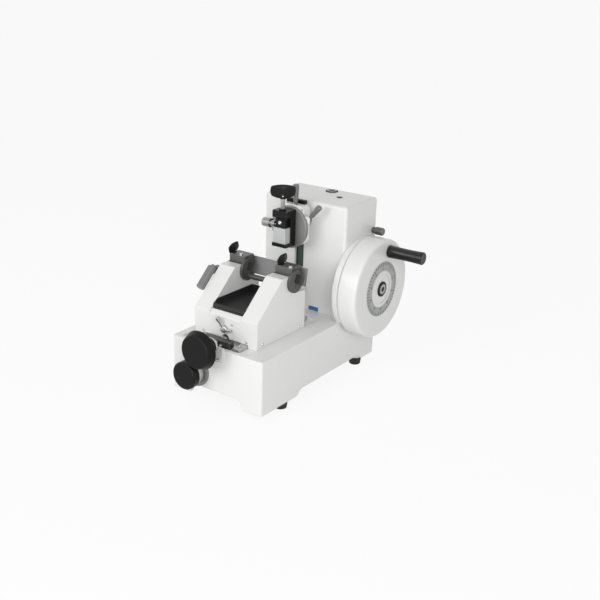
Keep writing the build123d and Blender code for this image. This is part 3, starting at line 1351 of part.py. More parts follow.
def cheek(span):
    """Return one cheek of the holder with the saddle for the knife cradle."""
    bottom = CHANNEL_FLOOR + SLIDE_GAP
    saddle_end = CRADLE_DEPTH + CRADLE_RADIUS / 2
    profile = [
        (HOLDER_FRONT, bottom),
        (HOLDER_BACK, bottom),
        (HOLDER_BACK, HOLDER_REAR_TOP - HOLDER_REAR_FALL),
        (saddle_end, HOLDER_REAR_TOP),
        (saddle_end, HOLDER_TOP),
        (HOLDER_SLOPE_END, HOLDER_TOP),
        (HOLDER_FRONT, HOLDER_NOSE_TOP),
    ]
    rounding = [0, 0, HOLDER_EDGE, 0, 0, HOLDER_EDGE, HOLDER_EDGE]
    wall = prism_x(profile, span, rounding)
    wall -= rod_x(span, CRADLE_RADIUS + RUNNING_FIT, CRADLE_DEPTH, CRADLE_Z)
    above = (CRADLE_DEPTH, saddle_end + 1)
    wall -= block(span, above, (CRADLE_Z, HOLDER_TOP + 1))
    rail_x = LEFT_RAIL_X if span[0] < LEFT_RAIL_X < span[1] else RIGHT_RAIL_X
    half_groove = RAIL_WIDTH / 2 + SLIDE_GAP
    groove = (rail_x - half_groove, rail_x + half_groove)
    wall -= block(groove, (HOLDER_FRONT, HOLDER_BACK), (bottom, RAIL_TOP + SLIDE_GAP))
    return wall - cheek_core(span)


def cheek_core(span):
    """Return the hollow that lightens a cheek from below, clear of its rail."""
    if span[0] == HOLDER_LEFT:
        core = (HOLDER_LEFT + HOLDER_WALL, HOLDER_LEFT + HOLDER_WALL + CHEEK_CORE_WIDTH)
    else:
        core = (HOLDER_RIGHT - HOLDER_WALL - CHEEK_CORE_WIDTH, HOLDER_RIGHT - HOLDER_WALL)
    front = HOLDER_FRONT + 2 * HOLDER_WALL
    back = HOLDER_BACK - 2 * HOLDER_WALL
    top = HOLDER_REAR_TOP - 2 * HOLDER_WALL
    profile = [
        (front, CHANNEL_FLOOR),
        (back, CHANNEL_FLOOR),
        (back, top),
        (HOLDER_SLOPE_END, top),
        (front, HOLDER_NOSE_TOP - 2 * HOLDER_WALL),
    ]
    return prism_x(profile, core)


def holder_screw_places():
    """Return the seats of the small screws on the holder's front and right side."""
    places = [Pos(HOLDER_RIGHT, depth, SIDE_SCREW_HEIGHT) * TO_RIGHT for depth in SIDE_SCREW_DEPTHS]
    return places + [Pos(x, HOLDER_FRONT, z) * TO_FRONT for x, z in FRONT_SCREW_POSITIONS]


def holder_holes():
    """Return the holes in the holder for the feed, the levers and the small screws."""
    front_wall = (HOLDER_FRONT, HOLDER_FRONT + HOLDER_WALL)
    holes = [rod_y(front_wall, SCREW_NOTCH_RADIUS, FEED_X, FEED_Z)]
    holes += [place * small_screw_hole() for place in holder_screw_places()]
    lever_bore = HOLDER_LEVER_STUB_RADIUS + RUNNING_FIT
    lever_span = (HOLDER_FRONT, HOLDER_FRONT + HOLDER_LEVER_STUB_LENGTH + 0.5)
    holes.append(rod_y(lever_span, lever_bore, HOLDER_LEVER_X, HOLDER_LEVER_Z))
    angle_span = (HOLDER_LEFT, HOLDER_LEFT + ANGLE_LEVER_STUB_LENGTH + 0.5)
    angle_bore = ANGLE_LEVER_STUB_RADIUS + RUNNING_FIT
    holes.append(rod_x(angle_span, angle_bore, ANGLE_LEVER_DEPTH, ANGLE_LEVER_Z))
    return joined(holes)


def holder_screws():
    """Return the small screws on the holder."""
    return group(place * small_screw() for place in holder_screw_places())


def feed_nut_top():
    """Return the height of the feed nut's top face."""
    return FEED_Z + FEED_NUT_WIDTH / 2


def feed_nut():
    """Return the bronze nut under the holder."""
    span = (FEED_X - FEED_NUT_WIDTH / 2, FEED_X + FEED_NUT_WIDTH / 2)
    depths = (FEED_NUT_DEPTH, FEED_NUT_DEPTH + FEED_NUT_LENGTH)
    nut = block(span, depths, (FEED_NUT_BOTTOM, feed_nut_top()))
    return nut - rod_y(depths, FEED_SCREW_RADIUS + RUNNING_FIT, FEED_X, FEED_Z)


def holder_clamp_lever():
    """Return the bright lever that clamps the holder to its rails."""
    front = HOLDER_LEVER_HUB_FRONT
    axis = (HOLDER_LEVER_X, HOLDER_LEVER_Z)
    lever = rod_y((front, HOLDER_FRONT - SLIDE_GAP), HOLDER_LEVER_HUB_RADIUS, *axis)
    lever = fillet(lever.edges().group_by(Axis.Y)[0], 2)
    stub = (HOLDER_FRONT - SLIDE_GAP, HOLDER_FRONT + HOLDER_LEVER_STUB_LENGTH)
    lever += rod_y(stub, HOLDER_LEVER_STUB_RADIUS, *axis)
    middle = (front + HOLDER_FRONT) / 2
    arm = turned(
        [
            (0, 0),
            (HOLDER_LEVER_NECK_RADIUS, 0),
            (HOLDER_LEVER_NECK_RADIUS, HOLDER_LEVER_REACH * 0.55),
            (HOLDER_LEVER_GRIP_RADIUS, HOLDER_LEVER_REACH * 0.8),
            (HOLDER_LEVER_GRIP_RADIUS, HOLDER_LEVER_REACH - 1),
            (HOLDER_LEVER_GRIP_RADIUS - 1.5, HOLDER_LEVER_REACH + 0.5),
            (0, HOLDER_LEVER_REACH + 0.5),
        ]
    )
    lean = Rot(0, -HOLDER_LEVER_ANGLE, 0) * Rot(HOLDER_LEVER_RISE * 2, 0, 0)
    lever += Pos(axis[0], middle, axis[1]) * lean * arm
    tail = rod_x((0, HOLDER_LEVER_TAIL), HOLDER_LEVER_NECK_RADIUS, 0, 0)
    return lever + Pos(axis[0], middle, axis[1]) * tail


def waste_tray():
    """Return the tray that catches sections in front of the knife."""
    middle = (CHEEK_LEFT_INNER + CHEEK_RIGHT_INNER) / 2
    profile = [
        (TRAY_FRONT, TRAY_BOTTOM),
        (TRAY_BACK, TRAY_BOTTOM),
        (TRAY_BACK, TRAY_TOP),
        (TRAY_RIM_START, TRAY_TOP),
        (TRAY_FRONT, TRAY_FRONT_TOP),
    ]
    tray = prism_x(profile, (middle - TRAY_HALF_WIDTH, middle + TRAY_HALF_WIDTH))
    tray = fillet(tray.edges().filter_by(Axis.Z), TRAY_CORNER)
    inside_x = TRAY_HALF_WIDTH - TRAY_WALL
    inside = [
        (TRAY_FRONT + 2 * TRAY_WALL, TRAY_BOTTOM + TRAY_WALL),
        (TRAY_BACK - TRAY_WALL, TRAY_BOTTOM + TRAY_WALL),
        (TRAY_BACK - TRAY_WALL, TRAY_TOP + TRAY_WALL),
        (TRAY_FRONT + 2 * TRAY_WALL, TRAY_TOP + TRAY_WALL),
    ]
    return tray - prism_x(inside, (middle - inside_x, middle + inside_x))


def pocket_point(across, along):
    """Return the depth and height of a point measured across and along the knife's face."""
    lean = radians(POCKET_LEAN)
    depth = POCKET_DEPTH + across * cos(lean) + along * sin(lean)
    height = POCKET_Z - across * sin(lean) + along * cos(lean)
    return depth, height


def pocket_profile(points):
    """Return an outline given across and along the knife's face."""
    return [pocket_point(across, along) for across, along in points]


def knife():
    """Return the wedge-shaped knife."""
    points = [(POCKET_WIDTH, 0), (POCKET_WIDTH + KNIFE_HEEL, 0), (POCKET_WIDTH, KNIFE_HEIGHT)]
    return prism_x(pocket_profile(points), (KNIFE_LEFT, KNIFE_LEFT + KNIFE_LENGTH))


def knife_rest(span):
    """Return the wall behind the knife's heel and the ledge that joins it to the barrel."""
    top = KNIFE_REST_HEIGHT
    taper = KNIFE_HEEL * top / KNIFE_HEIGHT
    heel = POCKET_WIDTH + KNIFE_HEEL
    wall = KNIFE_REST_WALL
    points = [
        (POCKET_WIDTH / 2, -wall),
        (heel + wall, -wall),
        (heel + wall - taper, top),
        (heel - taper, top),
        (heel, 0),
        (POCKET_WIDTH / 2, 0),
    ]
    return prism_x(pocket_profile(points), span)


def knife_cradle():
    """Return the two barrels with their end discs, knife rests and tie rod."""
    left = (HOLDER_LEFT, CHEEK_LEFT_INNER + SLIDE_GAP)
    right = (CHEEK_RIGHT_INNER, HOLDER_RIGHT + SLIDE_GAP)
    axis = (CRADLE_DEPTH, CRADLE_Z)
    cradle = Part()
    for span in (left, right):
        disc = (span[1], span[1] + CRADLE_DISC_THICKNESS)
        barrel = rod_x(span, CRADLE_RADIUS, *axis) + rod_x(disc, CRADLE_DISC_RADIUS, *axis)
        barrel -= pocket_room((span[0], disc[1]))
        above = (CRADLE_FLAT, CRADLE_Z + 2 * CRADLE_DISC_RADIUS)
        barrel -= block((span[0], span[1]), (CHANNEL_START, HOLDER_BACK), above)
        barrel += knife_rest(span)
        pin = (disc[1], disc[1] + HEEL_PIN_LENGTH)
        barrel += rod_x(pin, HEEL_PIN_RADIUS, CRADLE_DEPTH, HEEL_PIN_Z)
        cradle += barrel
    for x in (LEFT_WING_X, RIGHT_WING_X):
        cradle -= bracket_screw_place(x) * screw_hole(BRACKET_SCREW_LENGTH)
    tie = (CHEEK_LEFT_INNER, CHEEK_RIGHT_INNER + SLIDE_GAP)
    return cradle + rod_x(tie, TIE_ROD_RADIUS, CRADLE_DEPTH, TIE_ROD_Z)


def pocket_room(span):
    """Return the room in a barrel for the clamp pad and the knife."""
    far = 2 * CRADLE_DISC_RADIUS
    points = [
        (0, 0),
        (far, 0),
        (far, 2 * far),
        (POCKET_WIDTH, 2 * far),
        (POCKET_WIDTH, POCKET_HEIGHT),
        (0, POCKET_HEIGHT),
    ]
    return prism_x(pocket_profile(points), span)


def knife_brackets():
    """Return the two blocks on the barrels that the clamp screws run through."""
    return group([knife_bracket(LEFT_WING_X, HOLDER_LEFT, CHEEK_LEFT_INNER), right_bracket()])


def right_bracket():
    """Return the bracket over the right barrel."""
    return knife_bracket(RIGHT_WING_X, CHEEK_RIGHT_INNER, HOLDER_RIGHT)


def knife_bracket(wing_x, left, right):
    """Return one bracket with its screw holes."""
    lean = sin(radians(POCKET_LEAN)) / cos(radians(POCKET_LEAN))
    knife_foot = pocket_point(POCKET_WIDTH, 0)
    face_at_flat = knife_foot[0] + (CRADLE_FLAT - knife_foot[1]) * lean - BRACKET_KNIFE_GAP
    face_at_top = knife_foot[0] + (BRACKET_TOP - knife_foot[1]) * lean - 3 * BRACKET_KNIFE_GAP
    profile = [
        (BRACKET_FRONT, CRADLE_FLAT),
        (face_at_flat, CRADLE_FLAT),
        (face_at_top, BRACKET_TOP - 2),
        (face_at_top - 2, BRACKET_TOP),
        (BRACKET_FRONT, BRACKET_TOP),
    ]
    bracket = prism_x(profile, (left, right))
    bracket -= wing_place(wing_x) * wing_bore()
    return bracket - bracket_screw_place(wing_x) * screw_hole(BRACKET_SCREW_LENGTH)


def bracket_screw_place(wing_x):
    """Return the seat of the cap screw beside a clamp screw."""
    return Pos(wing_x + BRACKET_SCREW_X_OFFSET, BRACKET_SCREW_DEPTH, BRACKET_TOP)


def bracket_screws():
    """Return the cap screws that hold the brackets."""
    screw = cap_screw(BRACKET_SCREW_LENGTH)
    return group(bracket_screw_place(x) * screw for x in (LEFT_WING_X, RIGHT_WING_X))


def wing_place(x):
    """Return the leaning axis of a knife clamp screw, with its knob upwards."""
    return Pos(x, WING_DEPTH, WING_Z) * Rot(WING_LEAN, 0, 0)


def wing_bore():
    """Return the running bore of a knife clamp screw, about the screw's own axis."""
    return rod_z((-2 * WING_SCREW_LENGTH, WING_HEIGHT), WING_SCREW_RADIUS + RUNNING_FIT, 0, 0)


def knife_wing_screw(x):
    """Return a knife clamp screw with its winged knob."""
    screw = rod_z((-WING_SCREW_LENGTH, 0), WING_SCREW_RADIUS, 0, 0)
    knob = wing_knob(WING_SPAN, WING_HEIGHT, WING_THICKNESS, WING_THICKNESS * 0.75)
    return wing_place(x) * (screw + Rot(0, 0, 90) * knob)


def clamp_pad(x):
    """Return the pad that a clamp screw presses against the knife."""
    points = [
        (PAD_FRONT, PAD_BOTTOM),
        (POCKET_WIDTH - SLIDE_GAP, PAD_BOTTOM),
        (POCKET_WIDTH - SLIDE_GAP, PAD_BOTTOM + PAD_HEIGHT),
        (PAD_FRONT, PAD_BOTTOM + PAD_HEIGHT),
    ]
    pad = prism_x(pocket_profile(points), (x - PAD_WIDTH / 2, x + PAD_WIDTH / 2))
    return pad - wing_place(x) * wing_bore()


def angle_lock_lever():
    """Return the lever on the left cheek that locks the knife angle."""
    hub_right = HOLDER_LEFT - SLIDE_GAP
    hub_left = ANGLE_LEVER_X - ANGLE_LEVER_RADIUS / 2
    axis = (ANGLE_LEVER_DEPTH, ANGLE_LEVER_Z)
    lever = rod_x((hub_left, hub_right), ANGLE_LEVER_HUB_RADIUS, *axis)
    stub = (hub_right, HOLDER_LEFT + ANGLE_LEVER_STUB_LENGTH)
    lever += rod_x(stub, ANGLE_LEVER_STUB_RADIUS, *axis)
    grip_top = Vector(ANGLE_LEVER_X, *ANGLE_GRIP_TOP)
    grip_end = Vector(ANGLE_LEVER_X, *ANGLE_GRIP_END)
    arm_start = Vector(ANGLE_LEVER_X, *axis)
    lever += bar(arm_start, grip_top, ANGLE_LEVER_RADIUS * 0.7)
    grip = bar(grip_top, grip_end, ANGLE_LEVER_RADIUS)
    return lever + chamfer(grip.edges(), 1)


def bar(start, end, radius):
    """Return a round bar between two points."""
    way = end - start
    return Plane(origin=start, z_dir=way) * Pos(0, 0, way.length / 2) * Cylinder(radius, way.length)


def export_piece(name, shape):
    """Write one piece, moved so that the origin lies below the middle of the base."""
    placed = Pos(0, -BASE_LENGTH / 2, 0) * shape
    placed.label = name
    export_step(placed, f"parts/{name}.step")
    print(f"{name}: {len(placed.solids())} solid(s)")


PIECES = {
    "base_casting": base_casting,
    "base_feet": base_feet,
    "fixed_screws": fixed_screws,
    "slide_rails": slide_rails,
    "feed_bearing_block": feed_bearing_block,
    "front_plate": front_plate,
    "feed_knob": feed_knob,
    "feed_screw": feed_screw,
    "thickness_flange": thickness_flange,
    "thickness_knob": thickness_knob,
    "thickness_shaft": thickness_shaft,
    "housing_cover": housing_cover,
    "cover_caps": cover_caps,
    "spindle_housing": spindle_housing,
    "spindle_bushes": spindle_bushes,
    "mechanism_frame": mechanism_frame,
    "guide_rods": guide_rods,
    "handwheel": handwheel,
    "dial_ring": dial_ring,
    "hub_cap": hub_cap,
    "spindle": spindle,
    "crank_disc": crank_disc,
    "crank_pin": crank_pin,
    "crank_block": crank_block,
    "handle_pin": handle_pin,
    "crank_handle": crank_handle,
    "wheel_lock_knob": wheel_lock_knob,
    "head_carriage": head_carriage,
    "carriage_bushes": carriage_bushes,
    "dust_strip": dust_strip,
    "specimen_ram": specimen_ram,
    "ratchet_screw": ratchet_screw,
    "ratchet_wheel": ratchet_wheel,
    "pawl_arm": pawl_arm,
    "head_body": head_body,
    "tilt_pin": tilt_pin,
    "head_cap": head_cap,
    "tilt_lock_lever": tilt_lock_lever,
    "roll_lock_lever": roll_lock_lever,
    "clamp_disc": clamp_disc,
    "clamp_frame": clamp_frame,
    "specimen_block": specimen_block,
    "upper_jaw": upper_jaw,
    "jaw_screw": jaw_screw,
    "specimen_wing_screw": specimen_wing_screw,
    "side_screw": side_screw,
    "knife_holder": knife_holder,
    "holder_screws": holder_screws,
    "feed_nut": feed_nut,
    "holder_clamp_lever": holder_clamp_lever,
    "waste_tray": waste_tray,
    "knife_cradle": knife_cradle,
    "knife_brackets": knife_brackets,
    "bracket_screws": bracket_screws,
    "knife": knife,
    "left_wing_screw": lambda: knife_wing_screw(LEFT_WING_X),
    "right_wing_screw": lambda: knife_wing_screw(RIGHT_WING_X),
    "left_clamp_pad": lambda: clamp_pad(LEFT_WING_X),
    "right_clamp_pad": lambda: clamp_pad(RIGHT_WING_X),
    "angle_lock_lever": angle_lock_lever,
}


os.makedirs("parts", exist_ok=True)
for piece_name, build_piece in PIECES.items():
    export_piece(piece_name, build_piece())
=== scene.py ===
"""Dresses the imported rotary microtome: finishes for every carried node, and the fine pieces around them."""

import logging
import math
from dataclasses import dataclass
from enum import Enum

import bpy
from mathutils import Matrix, Vector


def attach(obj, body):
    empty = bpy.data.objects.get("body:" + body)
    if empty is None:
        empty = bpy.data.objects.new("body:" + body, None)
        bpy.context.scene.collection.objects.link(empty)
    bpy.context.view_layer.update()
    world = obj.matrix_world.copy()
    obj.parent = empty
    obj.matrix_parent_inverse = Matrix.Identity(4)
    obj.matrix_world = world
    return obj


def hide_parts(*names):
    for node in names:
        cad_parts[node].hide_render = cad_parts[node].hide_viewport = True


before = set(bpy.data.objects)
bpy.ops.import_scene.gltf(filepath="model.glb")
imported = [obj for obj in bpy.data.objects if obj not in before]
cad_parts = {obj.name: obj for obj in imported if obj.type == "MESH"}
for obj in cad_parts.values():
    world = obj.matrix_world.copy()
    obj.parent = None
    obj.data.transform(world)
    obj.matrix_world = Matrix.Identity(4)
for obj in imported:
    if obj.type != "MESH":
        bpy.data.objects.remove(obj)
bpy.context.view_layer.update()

LOG = logging.getLogger("microtome")
MM = 0.001
DEPTH_OF_ORIGIN = 182.0
COAT_ROUGHNESS = 0.08
BUMP_STRENGTH = 0.35
GRAIN_DETAIL = 4.0
CLOUD_SCALE = 28.0
CLOUD_DETAIL = 3.0
BEVEL_SAMPLES = 6
EDGE_BEGINS = 0.995
EDGE_IS_FULL = 0.86
WASHER_STEPS = 96
TO_THE_RIGHT = Vector((1, 0, 0))
UPWARD = Vector((0, 0, 1))

Profile = list[tuple[float, float]]
Faces = list[tuple[int, ...]]
Shape = tuple[list[Vector], Faces]


class Texture(Enum):
    """The kinds of surface relief and mottle that a finish can have."""

    ENAMEL = "enamel"
    GROUND = "ground"
    BLASTED = "blasted"
    MOULDED = "moulded"
    POLISHED = "polished"
    CAST = "cast"


@dataclass(frozen=True)
class Relief:
    """How a texture's noise is laid out on a surface.

    Args:
        scale: Noise cells per metre.
        stretch: How much longer the cells are along X than across.
        mottle: Share by which the colour varies.
        rough_spread: Amount by which the roughness varies.
        height: Depth of the relief in metres.
    """

    scale: float
    stretch: float
    mottle: float
    rough_spread: float
    height: float


RELIEFS = {
    Texture.ENAMEL: Relief(900.0, 1.0, 0.02, 0.05, 0.00003),
    Texture.GROUND: Relief(5200.0, 40.0, 0.16, 0.14, 0.00002),
    Texture.BLASTED: Relief(4200.0, 1.0, 0.08, 0.06, 0.00005),
    Texture.MOULDED: Relief(3000.0, 1.0, 0.10, 0.08, 0.00004),
    Texture.POLISHED: Relief(700.0, 1.0, 0.03, 0.03, 0.00001),
    Texture.CAST: Relief(1600.0, 1.0, 0.12, 0.08, 0.00008),
}


def place(x: float, depth: float, z: float) -> Vector:
    """Turn millimetres across, behind the base's front and up into a point of the frame.

    Args:
        x: Millimetres to the right of the middle.
        depth: Millimetres behind the base's front face.
        z: Millimetres above the bench.

    Returns:
        The point in metres.
    """
    return Vector((x, depth - DEPTH_OF_ORIGIN, z)) * MM


def math_node(tree: bpy.types.NodeTree, operation: str, *given: object) -> bpy.types.NodeSocket:
    """Add one arithmetic node.

    Args:
        tree: The node tree that it goes in.
        operation: The name of the operation.
        given: A number, or the socket that feeds it, for each input in turn.

    Returns:
        The socket that holds the result.
    """
    node = tree.nodes.new("ShaderNodeMath")
    node.operation = operation
    for slot, value in zip(node.inputs, given):
        if isinstance(value, float):
            slot.default_value = value
        else:
            tree.links.new(value, slot)
    return node.outputs[0]


def noise_node(
    tree: bpy.types.NodeTree, where: bpy.types.NodeSocket, scale: object, detail: float
) -> bpy.types.NodeSocket:
    """Add one noise.

    Args:
        tree: The node tree that it goes in.
        where: The socket with the coordinates.
        scale: Cells per metre, as a number or as the socket that feeds it.
        detail: How many finer layers lie over the first.

    Returns:
        The socket that holds the noise.
    """
    noise = tree.nodes.new("ShaderNodeTexNoise")
    noise.inputs["Detail"].default_value = detail
    tree.links.new(where, noise.inputs["Vector"])
    if isinstance(scale, float):
        noise.inputs["Scale"].default_value = scale
    else:
        tree.links.new(scale, noise.inputs["Scale"])
    return noise.outputs["Fac"]


def add_sockets(tree: bpy.types.NodeTree) -> None:
    """Give the shared group its named inputs and outputs.

    Args:
        tree: The group's node tree.
    """
    faces = tree.interface
    faces.new_socket("Color", in_out="INPUT", socket_type="NodeSocketColor")
    faces.new_socket("Edge Color", in_out="INPUT", socket_type="NodeSocketColor")
    for name in ("Scale", "Stretch", "Mottle", "Roughness", "Rough Spread", "Edge Wear", "Edge Radius"):
        faces.new_socket(name, in_out="INPUT", socket_type="NodeSocketFloat")
    faces.new_socket("Color", in_out="OUTPUT", socket_type="NodeSocketColor")
    faces.new_socket("Roughness", in_out="OUTPUT", socket_type="NodeSocketFloat")
    faces.new_socket("Height", in_out="OUTPUT", socket_type="NodeSocketFloat")
    faces.new_socket("Normal", in_out="OUTPUT", socket_type="NodeSocketVector")


def worn_and_highlit_surface_group() -> bpy.types.NodeTree:
    """Build the shared group: mottle, roughness variation, softened edges, and an edge colour that stands
    partly for worn edges and partly for a painted highlight.

    Returns:
        The node tree that every finish places.
    """
    tree = bpy.data.node_groups.new("worn_and_highlit_surface", "ShaderNodeTree")
    add_sockets(tree)
    add = tree.nodes.new
    link = tree.links.new
    given = add("NodeGroupInput")
    out = add("NodeGroupOutput")

    # Grain drawn out along X, over a wider mottle.
    where = add("ShaderNodeTexCoord")
    squeeze = add("ShaderNodeCombineXYZ")
    link(math_node(tree, "DIVIDE", 1.0, given.outputs["Stretch"]), squeeze.inputs["X"])
    squeeze.inputs["Y"].default_value = 1.0
    squeeze.inputs["Z"].default_value = 1.0
    lay = add("ShaderNodeVectorMath")
    lay.operation = "MULTIPLY"
    link(where.outputs["Object"], lay.inputs[0])
    link(squeeze.outputs[0], lay.inputs[1])
    grain = noise_node(tree, lay.outputs[0], given.outputs["Scale"], GRAIN_DETAIL)
    cloud = noise_node(tree, where.outputs["Object"], CLOUD_SCALE, CLOUD_DETAIL)
    centred = math_node(tree, "SUBTRACT", math_node(tree, "ADD", grain, cloud), 1.0)

    # An edge is where the softened normal leaves the flat one.
    bevel = add("ShaderNodeBevel")
    bevel.samples = BEVEL_SAMPLES
    link(given.outputs["Edge Radius"], bevel.inputs["Radius"])
    flat = add("ShaderNodeNewGeometry")
    turn = add("ShaderNodeVectorMath")
    turn.operation = "DOT_PRODUCT"
    link(bevel.outputs[0], turn.inputs[0])
    link(flat.outputs["Normal"], turn.inputs[1])
    edge = add("ShaderNodeMapRange")
    edge.inputs["From Min"].default_value = EDGE_BEGINS
    edge.inputs["From Max"].default_value = EDGE_IS_FULL
    link(turn.outputs["Value"], edge.inputs["Value"])
    # Share of the edge colour, which stands partly for worn edges and partly for a painted highlight.
    rubbed_and_highlit = math_node(tree, "MULTIPLY", edge.outputs[0], given.outputs["Edge Wear"])

    # The colour varies with the mottle and turns to the edge colour at edges, where it is partly worn paint
    # or metal and partly a painted highlight.
    tone = add("ShaderNodeHueSaturation")
    link(math_node(tree, "MULTIPLY_ADD", centred, given.outputs["Mottle"], 1.0), tone.inputs["Value"])
    link(given.outputs["Color"], tone.inputs["Color"])
    wear_and_highlight = add("ShaderNodeMix")
    wear_and_highlight.data_type = "RGBA"
    link(rubbed_and_highlit, wear_and_highlight.inputs["Factor"])
    link(tone.outputs[0], wear_and_highlight.inputs[6])
    link(given.outputs["Edge Color"], wear_and_highlight.inputs[7])
    rough = math_node(
        tree, "MULTIPLY_ADD", centred, given.outputs["Rough Spread"], given.outputs["Roughness"]
    )
    link(wear_and_highlight.outputs[2], out.inputs["Color"])
    link(rough, out.inputs["Roughness"])
    link(grain, out.inputs["Height"])
    link(bevel.outputs[0], out.inputs["Normal"])
    return tree


WORN_AND_HIGHLIT_SURFACE = worn_and_highlit_surface_group()


@dataclass(frozen=True)
class Finish:
    """One finish of the object, as a material with its own values in the shared group.

    Args:
        name: The material's name.
        color: Linear base colour.
        roughness: Middle roughness.
        metallic: 1 for bare metal, 0 for paint and plastic.
        texture: The kind of relief.
        edge_color: Colour that shows at edges, partly as worn edges and partly as a painted highlight.
        edge_wear: Share of the edge colour at an edge.
        coat: Weight of a clear coat.
        edge_radius: Radius in metres over which sharp edges are softened.
        specular: Level of the plain reflection on paint and plastic.
    """

    name: str
    color: tuple[float, float, float]
    roughness: float
    metallic: float
    texture: Texture
    edge_color: tuple[float, float, float]
    edge_wear: float = 0.3
    coat: float = 0.0
    edge_radius: float = 0.0006
    specular: float = 0.5

    def build(self) -> bpy.types.Material:
        """Build the material with its nodes.

        Returns:
            The material.
        """
        relief = RELIEFS[self.texture]
        material = bpy.data.materials.new(self.name)
        material.use_nodes = True
        material.diffuse_color = (*self.color, 1.0)
        nodes = material.node_tree.nodes
        link = material.node_tree.links.new
        shader = nodes["Principled BSDF"]
        shader.inputs["Metallic"].default_value = self.metallic
        shader.inputs["Coat Weight"].default_value = self.coat
        shader.inputs["Coat Roughness"].default_value = COAT_ROUGHNESS
        shader.inputs["Specular IOR Level"].default_value = self.specular
        surface = nodes.new("ShaderNodeGroup")
        surface.node_tree = WORN_AND_HIGHLIT_SURFACE
        surface.inputs["Color"].default_value = (*self.color, 1.0)
        surface.inputs["Edge Color"].default_value = (*self.edge_color, 1.0)
        surface.inputs["Scale"].default_value = relief.scale
        surface.inputs["Stretch"].default_value = relief.stretch
        surface.inputs["Mottle"].default_value = relief.mottle
        surface.inputs["Roughness"].default_value = self.roughness
        surface.inputs["Rough Spread"].default_value = relief.rough_spread
        surface.inputs["Edge Wear"].default_value = self.edge_wear
        surface.inputs["Edge Radius"].default_value = self.edge_radius
        bump = nodes.new("ShaderNodeBump")
        bump.inputs["Strength"].default_value = BUMP_STRENGTH
        bump.inputs["Distance"].default_value = relief.height
        link(surface.outputs["Color"], shader.inputs["Base Color"])
        link(surface.outputs["Roughness"], shader.inputs["Roughness"])
        link(surface.outputs["Height"], bump.inputs["Height"])
        link(surface.outputs["Normal"], bump.inputs["Normal"])
        link(bump.outputs["Normal"], shader.inputs["Normal"])
        return material


